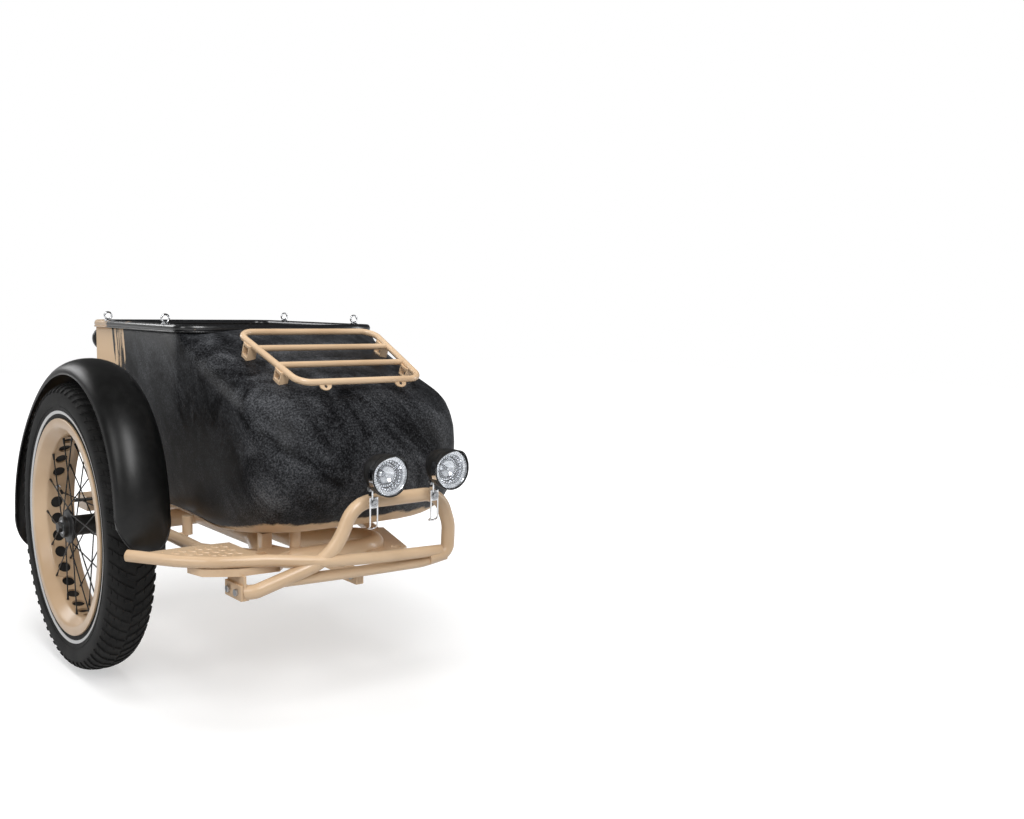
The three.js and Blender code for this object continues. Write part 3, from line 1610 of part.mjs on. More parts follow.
function add(name, geometry, look) {
  const body = closed(geometry);
  body.computeVertexNormals();
  const mesh = new THREE.Mesh(body, new THREE.MeshStandardMaterial(look));
  mesh.name = name;
  pieces.add(mesh);
}

function addTub() {
  add("tub_shell", tubShell(), tubPaint);
  add("floor_board", floorBoard(), plywood);
  add("seat_base", seatBase(), plywood);
  add("seat_cushion", seatCushion(), leather);
  add("back_cushion", backCushion(), leather);
  tubBolts.forEach((place, i) => add("tub_bolt_" + (i + 1), tubBolt(place), steel));
  for (const [label, side] of [["outer", -1], ["inner", 1]]) {
    add("tie_down_eye_rear_" + label, tieDownEye(side, eyeRear), chrome);
    add("tie_down_eye_front_" + label, tieDownEye(side, -eyeFront), chrome);
  }
  add("tail_lamp_bracket", tailBracket(), blackPlastic);
  add("tail_lamp_base", tailBase(), blackPlastic);
  add("tail_lamp_lens", tailLens(), clear);
}

function addRack() {
  add("rack_frame", rackFrame(), sandPaint);
  let number = 1;
  for (const side of [-1, 1]) {
    for (const share of rackFootShares) {
      add("rack_bolt_" + number, rackBolt(side, share), steel);
      number += 1;
    }
  }
}

function addWheel() {
  add("tyre", tyre(), rubber);
  add("inner_tube", innerTube(), rubber);
  add("rim_strip", rimStrip(), blackPlastic);
  add("rim", rim(), sandPaint);
  add("hub_with_spokes", hubWithSpokes(), blackPlastic);
  add("outer_bearing", bearing(-1), steel);
  add("inner_bearing", bearing(1), steel);
  add("axle_spindle", spindle(), steel);
  add("axle_nut", axleNut(), steel);
  add("stub_axle", stubAxle(), blackPlastic);
  add("stub_bolt_front", stubBolt(-1), steel);
  add("stub_bolt_rear", stubBolt(1), steel);
  add("fender", fender(), blackGloss);
  add("fender_stay_rear", rearStay(), blackPlastic);
  add("fender_stay_front", frontStay(), blackPlastic);
}

function addChassis() {
  add("chassis_frame", chassisFrame(), sandPaint);
  add("coupling_plate", couplingPlate(), sandPaint);
  add("coupling_flange", couplingFlange(), sandPaint);
  add("bumper_frame", bumperFrame(), sandPaint);
  add("step_plate", stepPlate(), sandPaint);
  ["outer", "inner"].forEach((label, index) => {
    add("clamp_plate_" + label, clampPlate(index), sandPaint);
    clampBoltPlaces(index).forEach((y, i) => {
      add("clamp_bolt_" + label + "_" + ["front", "rear"][i], clampBolt(index, y), steel);
    });
  });
}

function addHeadlamps() {
  for (const [label, side] of [["outer", -1], ["inner", 1]]) {
    add("headlamp_housing_" + label, lampHousing(side), blackPlastic);
    add("headlamp_lens_" + label, lampLens(side), clear);
    add("headlamp_reflector_" + label, lampReflector(side), chrome);
    add("headlamp_strap_" + label, strapBracket(side), chrome);
    add("headlamp_pivot_bolt_" + label, pivotBolt(side), steel);
    add("headlamp_strap_bolt_" + label, strapBolt(side), steel);
  }
}

addTub();
addRack();
addWheel();
addChassis();
addHeadlamps();

export default sidecar;
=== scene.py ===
# %% [markdown]
# A bicycle sidecar: a painted tub on bent tubes, with a spoked wheel under a fender.
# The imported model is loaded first, because it fixes where every piece is and how big it may be.
# Each cell after this dresses one part of it, from the large forms to the small fittings.

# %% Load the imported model
import math

import bmesh
import bpy
import numpy as np
from mathutils import Matrix, Vector
from mathutils.bvhtree import BVHTree


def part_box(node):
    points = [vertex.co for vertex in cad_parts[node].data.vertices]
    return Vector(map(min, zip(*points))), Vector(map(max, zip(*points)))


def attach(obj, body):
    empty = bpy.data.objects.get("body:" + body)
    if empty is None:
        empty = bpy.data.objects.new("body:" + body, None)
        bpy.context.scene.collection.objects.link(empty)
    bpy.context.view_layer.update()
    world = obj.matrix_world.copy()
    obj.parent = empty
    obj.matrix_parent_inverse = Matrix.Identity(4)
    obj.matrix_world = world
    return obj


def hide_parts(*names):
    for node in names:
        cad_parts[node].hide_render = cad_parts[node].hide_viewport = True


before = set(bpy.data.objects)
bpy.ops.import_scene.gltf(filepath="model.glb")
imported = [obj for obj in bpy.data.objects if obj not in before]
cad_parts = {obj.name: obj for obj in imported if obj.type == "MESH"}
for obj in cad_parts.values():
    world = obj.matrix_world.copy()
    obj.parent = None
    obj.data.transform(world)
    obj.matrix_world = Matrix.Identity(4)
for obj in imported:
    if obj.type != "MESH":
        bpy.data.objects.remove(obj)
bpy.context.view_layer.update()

# %% [markdown]
# Workshop drawings give a sidecar in millimetres from the ground, beside the wheel's axle.
# The model's own origin is the face that bolts to the bicycle, so one helper turns one into the other.
# Everything below can then be read as on the drawing.

# %% Drawing millimetres to scene metres
COUPLING_FACE = np.array([350.0, 84.0, 318.0])


def at(x, y, z):
    """A drawing point, in millimetres from the ground, as a scene point in metres."""
    return Vector((np.array([x, y, z]) - COUPLING_FACE) / 1000)


def scene_x(x):
    """A drawing place across the bicycle as a scene coordinate."""
    return (x - COUPLING_FACE[0]) / 1000


def scene_y(y):
    """A drawing place along the bicycle as a scene coordinate."""
    return (y - COUPLING_FACE[1]) / 1000


def height(z):
    """A drawing height as a scene height."""
    return (z - COUPLING_FACE[2]) / 1000


print("the ground is at", round(height(0), 3))

# %% [markdown]
# The photograph was taken from beside the front wheel, a little above the hoop, with a short lens.
# Setting the camera first fixes the view before anything is built.
# Its axes are worked out one by one, so its slight tilt to one side is kept.

# %% Camera
YAW, PITCH, ROLL = (math.radians(angle) for angle in (39.53, 5.6, 0.85))
look = Vector((math.sin(YAW) * math.cos(PITCH), math.cos(YAW) * math.cos(PITCH), -math.sin(PITCH)))
level = Vector((math.cos(YAW), -math.sin(YAW), 0))
over = level.cross(look)
right = level * math.cos(ROLL) + over * math.sin(ROLL)
upward = over * math.cos(ROLL) - level * math.sin(ROLL)
camera = bpy.data.objects.new("camera", bpy.data.cameras.new("camera"))
bpy.context.scene.collection.objects.link(camera)
axes = Matrix((right, upward, -look)).transposed()
camera.matrix_world = Matrix.Translation((-1.40257, -2.25708, 0.42489)) @ axes.to_4x4()
camera.data.sensor_width = 36
camera.data.lens = 37.18
camera.data.clip_end = 60
bpy.context.scene.camera = camera
print("camera distance to the tub", round((camera.location - at(0, 0, 450)).length, 2))

# %% [markdown]
# Paint, rubber and leather differ mostly in how rough they are and what breaks up their surface.
# A few node helpers keep each finish short: a noise, a ramp that turns it into colours, and a bump.
# The noise is placed by object coordinates, so nothing slides when the wheel turns.

# %% Helpers for materials
def finish_of(name, colour, roughness, **sockets):
    """A new Principled material with plain values on its sockets."""
    material = bpy.data.materials.new(name)
    material.use_nodes = True
    shader = material.node_tree.nodes["Principled BSDF"]
    shader.inputs["Base Color"].default_value = (*colour, 1)
    shader.inputs["Roughness"].default_value = roughness
    for socket, value in sockets.items():
        shader.inputs[socket.replace("_", " ")].default_value = value
    return material


def place_of(material):
    """The object coordinates in a material, made once."""
    nodes = material.node_tree.nodes
    found = nodes.get("place")
    if found is None:
        found = nodes.new("ShaderNodeTexCoord")
        found.name = "place"
    return found.outputs["Object"]


def stretched(material, scale, turn=(0, 0, 0)):
    """Object coordinates squeezed or turned, so that a noise becomes streaks."""
    turned_first, squeezed = [material.node_tree.nodes.new("ShaderNodeMapping") for _ in range(2)]
    turned_first.inputs["Rotation"].default_value = turn
    squeezed.inputs["Scale"].default_value = scale
    material.node_tree.links.new(place_of(material), turned_first.inputs["Vector"])
    material.node_tree.links.new(turned_first.outputs["Vector"], squeezed.inputs["Vector"])
    return squeezed.outputs["Vector"]


def noise(material, scale, detail=4, roughness=0.5, where=None, twist=0):
    """A noise value over the surface."""
    node = material.node_tree.nodes.new("ShaderNodeTexNoise")
    node.inputs["Scale"].default_value = scale
    node.inputs["Detail"].default_value = detail
    node.inputs["Roughness"].default_value = roughness
    node.inputs["Distortion"].default_value = twist
    material.node_tree.links.new(where or place_of(material), node.inputs["Vector"])
    return node.outputs["Fac"]


def cells(material, scale, feature="F1", output="Distance", where=None):
    """A cell pattern, for leather grain, beads and speckle."""
    node = material.node_tree.nodes.new("ShaderNodeTexVoronoi")
    node.feature = feature
    node.inputs["Scale"].default_value = scale
    material.node_tree.links.new(where or place_of(material), node.inputs["Vector"])
    return node.outputs[output]


def ramp(material, value, *stops):
    """A value turned into colours or greys through its stops."""
    node = material.node_tree.nodes.new("ShaderNodeValToRGB")
    elements = node.color_ramp.elements
    while len(elements) < len(stops):
        elements.new(0.5)
    for element, (position, colour) in zip(elements, stops):
        element.position = position
        element.color = (*colour, 1) if isinstance(colour, tuple) else (colour, colour, colour, 1)
    material.node_tree.links.new(value, node.inputs["Fac"])
    return node.outputs["Color"]


def sum_of(material, first, second, kind="ADD"):
    """Two values put together by one sum."""
    node = material.node_tree.nodes.new("ShaderNodeMath")
    node.operation = kind
    for socket, value in zip(node.inputs, (first, second)):
        if isinstance(value, (int, float)):
            socket.default_value = value
        else:
            material.node_tree.links.new(value, socket)
    return node.outputs["Value"]


def blended(material, share, first, second, kind="MIX"):
    """Two colours, links or plain ones, mixed by a share."""
    node = material.node_tree.nodes.new("ShaderNodeMix")
    node.data_type = "RGBA"
    node.blend_type = kind
    for index, value in ((0, share), (6, first), (7, second)):
        socket = node.inputs[index]
        if isinstance(value, (int, float)):
            socket.default_value = value
        elif isinstance(value, tuple):
            socket.default_value = (*value, 1)
        else:
            material.node_tree.links.new(value, socket)
    return node.outputs[2]


def wire(material, value, socket):
    """A link into one of the shader's sockets."""
    shader = material.node_tree.nodes["Principled BSDF"]
    material.node_tree.links.new(value, shader.inputs[socket])


def raised(material, value, depth, strength=1.0):
    """A bump, in metres, that follows a value."""
    node = material.node_tree.nodes.new("ShaderNodeBump")
    node.inputs["Distance"].default_value = depth
    node.inputs["Strength"].default_value = strength
    material.node_tree.links.new(value, node.inputs["Height"])
    wire(material, node.outputs["Normal"], "Normal")


def mapped(material, value, start, end, low=0.0, high=1.0):
    """A value's range turned into another, and held at its ends."""
    node = material.node_tree.nodes.new("ShaderNodeMapRange")
    for socket, number in (("From Min", start), ("From Max", end), ("To Min", low), ("To Max", high)):
        node.inputs[socket].default_value = number
    material.node_tree.links.new(value, node.inputs["Value"])
    return node.outputs["Result"]


def mottled(material, scale, detail, low, high, stops=(0.35, 0.65)):
    """A base colour that wanders between two colours or greys."""
    low, high = [value if isinstance(value, tuple) else (value,) * 3 for value in (low, high)]
    colours = ramp(material, noise(material, scale, detail), (stops[0], low), (stops[1], high))
    wire(material, colours, "Base Color")


print("material helpers ready")

# %% [markdown]
# The tubes wear a sand powder coat: a baked paint with a faint orange peel and a soft gloss.
# The colour drifts a little over a metre of tube, and fine dust dulls it in patches.
# A thin clear coat on the shader gives the soft white line along each tube.

# %% Sand powder coat
SAND = (0.68, 0.49, 0.315)
SAND_DARK = (0.57, 0.39, 0.235)
sand_coat = finish_of("sand_coat", SAND, 0.38, Coat_Weight=0.35, Coat_Roughness=0.2)
mottled(sand_coat, 6, 3, SAND_DARK, SAND, (0.35, 0.6))
wire(sand_coat, ramp(sand_coat, noise(sand_coat, 30, 5), (0.3, 0.3), (0.7, 0.44)), "Roughness")
raised(sand_coat, noise(sand_coat, 900, 2), 0.00012, 0.5)
print(sand_coat.name, SAND)

# %% [markdown]
# The tub is sand underneath, brushed over by hand with a charcoal black that was left uneven.
# Three layers make it: long smears, a fine grain like dry brushing, and places where the sand shows.
# Those places lie low on the body, round the rear corner and on the lip, with ragged edges.

# %% Brushed black over sand
BLACK = (0.0012, 0.0012, 0.0016)
CHARCOAL = (0.0155, 0.016, 0.0178)
SLATE = (0.037, 0.0385, 0.042)
ASH = (0.1, 0.103, 0.11)
brushed = finish_of("brushed_black", CHARCOAL, 0.42, Specular_IOR_Level=0.1)
SLANT = (0.688, 0.5236, 0)
clouds = noise(brushed, 4.5, 3, 0.5, None, 0.8)
smears = noise(brushed, 13, 6, 0.6, stretched(brushed, (1, 1, 0.22), SLANT), 1.6)
grain = noise(brushed, 300, 3, 0.8)
soft_tone = sum_of(
    brushed, sum_of(brushed, clouds, 0.26, "MULTIPLY"), sum_of(brushed, smears, 0.4, "MULTIPLY")
)
speckle = mapped(brushed, grain, 0, 1, -0.13, 0.47)
grit = sum_of(brushed, soft_tone, speckle)
dark_coat = ramp(brushed, grit, (0.41, BLACK), (0.475, CHARCOAL), (0.54, SLATE), (0.65, ASH))


def heights_in(material, axis):
    """One object coordinate of a material, X, Y or Z."""
    node = material.node_tree.nodes.new("ShaderNodeSeparateXYZ")
    material.node_tree.links.new(place_of(material), node.inputs["Vector"])
    return node.outputs[axis]


along_tub = heights_in(brushed, "Y")
ragged = noise(brushed, 17, 6, 0.65, stretched(brushed, (1, 0.7, 1.6), (0.3, 0.2, 0)))
keel_rise = mapped(brushed, along_tub, scene_y(-235), scene_y(-446), 0, 0.036)
over_keel = sum_of(brushed, heights_in(brushed, "Z"), keel_rise, "SUBTRACT")
over_keel = sum_of(brushed, over_keel, sum_of(brushed, ragged, 0.03, "MULTIPLY"))
low_band = mapped(brushed, over_keel, height(321), height(316))
brush_ends = noise(brushed, 21, 7, 0.7, stretched(brushed, (1, 1.6, 0.28), (0.15, 0, 0)), 0.6)
corner = sum_of(brushed, along_tub, sum_of(brushed, brush_ends, 0.5, "MULTIPLY"), "SUBTRACT")
rear_corner = mapped(brushed, corner, -0.127, -0.117)
bare = sum_of(brushed, low_band, rear_corner, "MAXIMUM")
wire(brushed, blended(brushed, bare, dark_coat, SAND), "Base Color")
wire(brushed, ramp(brushed, grit, (0.4, 0.34), (0.6, 0.5)), "Roughness")
raised(brushed, grit, 0.0005, 0.35)
print(brushed.name, "smears, grain and bare sand")

# %% [markdown]
# The lip shows more wear: the black rubbed off its crown in long patches, and grime in between.
# It uses the same three colours, with a coarser break between them along the rim.

# %% Worn lip and inner paint
worn = finish_of("worn_lip", SAND, 0.32, Coat_Weight=0.5, Coat_Roughness=0.12)
rubbed = noise(worn, 13, 5, 0.6, None, 0.8)
towards_rear = mapped(worn, heights_in(worn, "Y"), scene_y(120), scene_y(400), 0, 0.3)
outer_side = mapped(worn, heights_in(worn, "X"), scene_x(-150), scene_x(-225))
rubbed_more = sum_of(worn, towards_rear, outer_side, "MULTIPLY")
showing = mapped(worn, sum_of(worn, rubbed, rubbed_more), 0.655, 0.7)
lip_dark = ramp(worn, noise(worn, 300, 5, 0.8), (0.4, BLACK), (0.65, CHARCOAL))
wire(worn, blended(worn, showing, lip_dark, SAND), "Base Color")
raised(worn, rubbed, 0.0006, 0.3)
inner_coat = finish_of("inner_coat", CHARCOAL, 0.55, Coat_Weight=0.1)
patches = noise(inner_coat, 5, 5, 0.6, None, 0.7)
inner_colour = ramp(inner_coat, patches, (0.54, CHARCOAL), (0.6, SAND_DARK))
wire(inner_coat, inner_colour, "Base Color")
raised(inner_coat, noise(inner_coat, 200, 4), 0.0004, 0.4)
print(worn.name, inner_coat.name)

# %% [markdown]
# The fender is gloss black and smooth, so its look is one long highlight with a slight waviness.
# The small black parts are plastic or satin paint, which scatter the light more.
# Each has its own grain: moulded plastic is fine and even, and satin paint has soft clouds.

# %% Blacks
gloss_black = finish_of(
    "gloss_black", (0.004, 0.004, 0.0045), 0.37, Specular_IOR_Level=0.4, Coat_Weight=0.05,
    Coat_Roughness=0.25
)
wire(gloss_black, ramp(gloss_black, noise(gloss_black, 9, 4), (0.3, 0.34), (0.7, 0.4)), "Roughness")
mottled(gloss_black, 60, 3, 0.003, 0.0055, (0.4, 0.6))
raised(gloss_black, noise(gloss_black, 14, 2), 0.0008, 0.12)
satin_black = finish_of("satin_black", (0.012, 0.012, 0.013), 0.4, Specular_IOR_Level=0.35)
mottled(satin_black, 40, 4, 0.009, 0.02, (0.4, 0.6))
raised(satin_black, noise(satin_black, 700, 2), 0.0001, 0.5)
moulded = finish_of("moulded_black", (0.01, 0.01, 0.011), 0.44, Specular_IOR_Level=0.35)
mottled(moulded, 90, 4, 0.01, 0.02, (0.4, 0.6))
raised(moulded, cells(moulded, 1400), 0.00015, 0.6)
print(gloss_black.name, satin_black.name, moulded.name)

# %% [markdown]
# Rubber is matt, with faint brown bloom on the tread and a pale reflecting line on the sidewall.
# Metals get fine scratches: chrome hardly any, zinc-plated bolts more.

# %% Rubber and metals
rubber = finish_of("tyre_rubber", (0.01, 0.01, 0.011), 0.64, Specular_IOR_Level=0.2)
mottled(rubber, 25, 5, 0.006, (0.015, 0.0147, 0.0143))
raised(rubber, noise(rubber, 600, 3), 0.0002, 0.6)
pale_line = finish_of("reflecting_line", (0.55, 0.55, 0.56), 0.35, Metallic=0.4)
wire(pale_line, ramp(pale_line, cells(pale_line, 2500), (0, (0.42,) * 3), (0.6, (0.64,) * 3)), "Base Color")


def metal(name, colour, roughness, scratch):
    """A bare or plated metal with cloudy roughness and fine scratches."""
    material = finish_of(name, colour, roughness, Metallic=1.0)
    clouds = noise(material, 45, 5)
    wire(material, ramp(material, clouds, (0.3, roughness * 0.7), (0.7, roughness * 1.4)), "Roughness")
    dull = tuple(0.82 * channel for channel in colour)
    mottled(material, 120, 4, dull, colour, (0.35, 0.6))
    raised(material, noise(material, 300, 3, 0.5, stretched(material, (1, 1, 14))), scratch, 0.5)
    return material


chrome = metal("chrome", (0.78, 0.79, 0.81), 0.09, 0.00002)
zinc = metal("zinc_plate", (0.5, 0.51, 0.53), 0.32, 0.00006)
print(rubber.name, chrome.name, zinc.name)

# %% [markdown]
# The seat is guessed from other sidecars: lacquered plywood under leather pads.
# Plywood shows long grain with darker lines, and leather a net of small cells.

# %% Plywood and leather
plywood = finish_of("plywood", (0.42, 0.27, 0.14), 0.5, Coat_Weight=0.2)
grain_lines = noise(plywood, 7, 5, 0.6, stretched(plywood, (1, 16, 16)), 0.6)
wire(
    plywood, ramp(plywood, grain_lines, (0.35, (0.28, 0.165, 0.075)), (0.6, (0.5, 0.34, 0.19))),
    "Base Color"
)
raised(plywood, grain_lines, 0.0003, 0.4)
leather = finish_of("leather", (0.045, 0.033, 0.026), 0.48, Sheen_Weight=0.1)
hide = cells(leather, 420, "SMOOTH_F1")
mottled(leather, 14, 5, (0.03, 0.022, 0.017), (0.07, 0.05, 0.038), (0.3, 0.7))
wire(leather, ramp(leather, hide, (0.1, 0.62), (0.6, 0.4)), "Roughness")
raised(leather, hide, 0.0004, 0.6)
print(plywood.name, leather.name)

# %% [markdown]
# The lamps' lenses are clear polycarbonate with a trace of grey, and their reflectors bright metal.

# %% Lens
clear = finish_of("clear_lens", (0.93, 0.95, 0.96), 0.05, Transmission_Weight=1.0, IOR=1.45)
mottled(clear, 60, 3, (0.86, 0.88, 0.9), (0.95, 0.96, 0.97), (0.3, 0.7))
bright = metal("bright_reflector", (0.64, 0.65, 0.67), 0.12, 0.00002)
print(clear.name, bright.name)

# %% [markdown]
# Almost every piece here is one of four kinds: a loft, a turned form, a bent tube or a cut plate.
# Building them from points keeps them exact, and smooth shading by angle keeps their edges crisp.
# Each helper hands its points to one maker, which gives the piece its finish and the body it rides on.


def piece(name, points, faces, material, body="sidecar", slot=None, stands_for=(), crease=40):
    """A mesh in scene metres that rides on a body of the model."""
    mesh = bpy.data.meshes.new(name)
    mesh.from_pydata([tuple(p) for p in points], [], faces)
    shaper = bmesh.new()
    shaper.from_mesh(mesh)
    bmesh.ops.remove_doubles(shaper, verts=shaper.verts, dist=1e-6)
    bmesh.ops.dissolve_degenerate(shaper, edges=shaper.edges, dist=1e-7)
    bmesh.ops.recalc_face_normals(shaper, faces=shaper.faces)
    shaper.to_mesh(mesh)
    shaper.free()
    mesh.shade_smooth()
    mesh.set_sharp_from_angle(angle=math.radians(crease))
    mesh.materials.append(material)
    made = bpy.data.objects.new(name, mesh)
    bpy.context.scene.collection.objects.link(made)
    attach(made, body)
    if stands_for:
        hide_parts(*stands_for)
    return made


def softened(made, width, segments=2, angle=50):
    """Rounds a piece's sharp edges, as a file or a press leaves them. The width is in millimetres."""
    bevel = made.modifiers.new("edges", "BEVEL")
    bevel.width = width / 1000
    bevel.segments = segments
    bevel.limit_method = "ANGLE"
    bevel.angle_limit = math.radians(angle)
    bevel.harden_normals = False
    return made


def unit(vector):
    """A direction of length one."""
    return vector / np.linalg.norm(vector)


def loop_headings(places):
    """The directions along a closed line of places."""
    return [unit(places[(k + 1) % len(places)] - places[k - 1]) for k in range(len(places))]


def added(points, faces, all_points, all_faces):
    """Puts one form's points and faces with those of its like."""
    all_faces += [tuple(i + len(all_points) for i in face) for face in faces]
    all_points += points


def skin(rings, closed_along=False, caps=True):
    """Faces between rings of as many points each."""
    count = len(rings[0])
    faces = []
    total = len(rings)
    for i in range(total if closed_along else total - 1):
        for j in range(count):
            k = (j + 1) % count
            n = (i + 1) % total
            faces.append((i * count + j, i * count + k, n * count + k, n * count + j))
    if caps and not closed_along:
        faces.append(tuple(range(count)))
        faces.append(tuple((total - 1) * count + j for j in reversed(range(count))))
    return [p for ring in rings for p in ring], faces


def route(corners, bends, step=math.radians(6)):
    """Stations and headings along straight runs with rounded corners, in drawing millimetres."""
    corners = [np.array(c, float) for c in corners]
    places, headings = [corners[0]], []
    first = corners[1] - corners[0]
    headings.append(unit(first))
    for i in range(1, len(corners) - 1):
        before = corners[i] - corners[i - 1]
        after = corners[i + 1] - corners[i]
        before, after = unit(before), unit(after)
        radius = bends[i - 1] if isinstance(bends, (list, tuple)) else bends
        turn = math.acos(max(-1.0, min(1.0, float(before @ after))))
        side = (after - before * math.cos(turn)) / math.sin(turn)
        start = corners[i] - before * radius * math.tan(turn / 2)
        steps = max(2, round(turn / step))
        for k in range(steps + 1):
            angle = turn * k / steps
            places.append(start + before * radius * math.sin(angle) + side * radius * (1 - math.cos(angle)))
            headings.append(before * math.cos(angle) + side * math.sin(angle))
    places.append(corners[-1])
    last = corners[-1] - corners[-2]
    headings.append(unit(last))
    return places, headings


def swept(places, headings, outline, closed=False, start=None):
    """Rings of an outline carried along a route without twisting."""
    side = start if start is not None else np.cross(headings[0], (0, 0, 1.0))
    if np.linalg.norm(side) < 1e-6:
        side = np.array([1.0, 0, 0])
    rings = []
    for place, heading in zip(places, headings):
        side = side - heading * (side @ heading)
        side = unit(side)
        lift = np.cross(side, heading)
        rings.append([at(*(place + side * a + lift * b)) for a, b in outline])
    return skin(rings, closed)


def circle(radius, sides=24):
    """A round outline."""
    turns = [2 * math.pi * i / sides for i in range(sides)]
    return [(radius * math.cos(a), radius * math.sin(a)) for a in turns]


def bent_tube(name, corners, bends, radius, material, **settings):
    """A tube bent as on a mandrel bender."""
    points, faces = swept(*route(corners, bends), circle(radius))
    return piece(name, points, faces, material, **settings)


def straight_rod(name, start, end, radius, material, sides=24, **settings):
    """A straight round bar between two drawing points."""
    start, end = np.array(start, float), np.array(end, float)
    heading = unit(end - start)
    points, faces = swept([start, end], [heading, heading], circle(radius, sides))
    return piece(name, points, faces, material, **settings)


def turning(profile, axis, centre, segments=64, angles=(0, 2 * math.pi)):
    """Points and faces of a turned form. The profile is [radius, place along the axis]."""
    whole = abs(angles[1] - angles[0] - 2 * math.pi) < 1e-6
    count = segments if whole else segments + 1
    points, faces = [], []
    for i in range(count):
        angle = angles[0] + (angles[1] - angles[0]) * i / segments
        c, s = math.cos(angle), math.sin(angle)
        for radius, along in profile:
            offset = {
                "X": (along, radius * s, radius * c), "Y": (radius * s, along, radius * c),
                "Z": (radius * c, radius * s, along)
            }[axis]
            points.append(at(*(np.array(centre, float) + offset)))
    width = len(profile)
    for i in range(count if whole else count - 1):
        n = (i + 1) % count
        for j in range(width - 1):
            faces.append((i * width + j, i * width + j + 1, n * width + j + 1, n * width + j))
    return points, faces


def turned(name, profile, axis, centre, material, segments=64, **settings):
    """A turned piece about an axis of the model."""
    points, faces = turning(profile, axis, centre, segments)
    return piece(name, points, faces, material, **settings)


def plate(name, low, high, material, edge=0.8, **settings):
    """A flat bar or a block with softened edges, between two drawing corners."""
    corners = [at(x, y, z) for x in (low[0], high[0]) for y in (low[1], high[1]) for z in (low[2], high[2])]
    faces = [(0, 1, 3, 2), (4, 6, 7, 5), (0, 4, 5, 1), (2, 3, 7, 6), (0, 2, 6, 4), (1, 5, 7, 3)]
    return softened(piece(name, corners, faces, material, **settings), edge)


def from_model(name, node, material, body="sidecar", edge=0.6, crease=50, slot=None):
    """A copy of one of the model's own solids, with its edges softened."""
    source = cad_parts[node].data
    shaper = bmesh.new()
    shaper.from_mesh(source)
    bmesh.ops.remove_doubles(shaper, verts=shaper.verts, dist=2e-5)
    bmesh.ops.dissolve_limit(shaper, angle_limit=math.radians(1.5), verts=shaper.verts, edges=shaper.edges)
    mesh = bpy.data.meshes.new(name)
    shaper.to_mesh(mesh)
    shaper.free()
    points = [v.co.copy() for v in mesh.vertices]
    faces = [tuple(p.vertices) for p in mesh.polygons]
    bpy.data.meshes.remove(mesh)
    made = piece(name, points, faces, material, body=body, slot=slot, stands_for=(node,), crease=crease)
    return softened(made, edge) if edge else made


print("makers ready")

# %% [markdown]
# The tub is one skin: a box with round corners behind, which closes forward into a blunt nose.
# Each cross-section is a rounded rectangle that gets rounder towards the nose, so a loft suits it.
# The sections follow the model's own rule, with many more points.

# %% The tub's sections
HALF, REAR, NOSE, FLOOR, WALL = 225, 404, 508, 290, 6
NOSE_Z, DECK_Z, RIDGE_Z, DECK_START, DECK_SLOPE = 430, 690, 682, 177, 0.39
SHOULDER = [(0.22, 1), (0.276, 0.873), (0.396, 0.659), (0.585, 0.504), (0.809, 0.385), (1, 0)]
ROOF_FROM, BELLY_FROM, KEEL_FROM, KEEL_RISE = 330, 400, 250, 28 / 196
NOSE_ROUND, REAR_ROUND, FLOOR_ROUND = 100, 45, 40
SQUARE, ROUND = 2.5, 8


def mixed(start, end, share):
    """A value part of the way from one to another."""
    return start + (end - start) * share


def drawn_in(radius, reach):
    """How far a rounded corner draws in at a place along it."""
    return radius - math.sqrt(radius ** 2 - min(max(0, reach), radius) ** 2)


def section(y, inset):
    """The half width, shoulder, top, bottom and roundness of the tub at a place along it."""
    roof = min(1, max(0, (-ROOF_FROM - y) / (NOSE - ROOF_FROM)))
    belly = min(1, max(0, (-BELLY_FROM - y) / (NOSE - BELLY_FROM)))
    deck = DECK_Z - max(0, -DECK_START - y) * DECK_SLOPE
    keel = FLOOR + KEEL_RISE * max(0, -KEEL_FROM - y)
    half = HALF - inset - drawn_in(
        NOSE_ROUND, NOSE_ROUND - NOSE - y
    ) - drawn_in(REAR_ROUND, y - REAR + REAR_ROUND)
    tuck = drawn_in(FLOOR_ROUND, y - REAR + FLOOR_ROUND)
    shares, rises = zip(*SHOULDER)
    ridge = mixed(NOSE_Z, RIDGE_Z, float(np.interp(max(-y / NOSE, shares[0]), shares, rises)))
    top = mixed(NOSE_Z, deck, math.sqrt(max(0, 1 - roof ** 5))) - inset
    bottom = mixed(NOSE_Z, keel, math.sqrt(max(0, 1 - belly ** 3))) + tuck + inset
    return half, ridge, top, bottom, mixed(ROUND, SQUARE, roof)


def tub_ring(y, inset, quarter=12):
    """One cross-section as drawing points."""
    half, ridge, top, bottom, power = section(y, inset)
    centre, reach = (REAR - NOSE) / 2, (REAR + NOSE) / 2
    place = centre + (y - centre) * (1 - inset / reach)
    ring = []
    for i in range(4 * quarter):
        angle = i * math.pi / (2 * quarter)
        bow = SQUARE if i <= 2 * quarter else power
        across = 0 if abs(math.cos(angle)) < 1e-6 else math.cos(angle)
        x = half * math.copysign(abs(across) ** (2 / bow), across)
        lift = abs(math.sin(angle)) ** (2 / bow)
        ring.append((x, place, mixed(ridge, top if i <= 2 * quarter else bottom, lift)))
    return ring


def tub_places():
    """Stations from the rear wall to the nose, close together where it curves."""
    rear = [REAR - 45 * (1 - math.cos(math.pi / 2 * i / 8)) for i in range(9)]
    middle = list(np.arange(340, -330, -20.0))
    nose = [
        -mixed(330, NOSE, s)
        for s in (0, 0.1, 0.2, 0.3, 0.4, 0.5, 0.6, 0.7, 0.78, 0.85, 0.9, 0.94, 0.97, 0.985, 0.996)
    ]
    return rear + [y for y in middle if y < rear[-1] - 8] + nose


def tub_form(inset):
    """The closed form of the tub, drawn in by a wall."""
    rings = [[at(*p) for p in tub_ring(y, inset)] for y in tub_places()]
    return skin(rings)


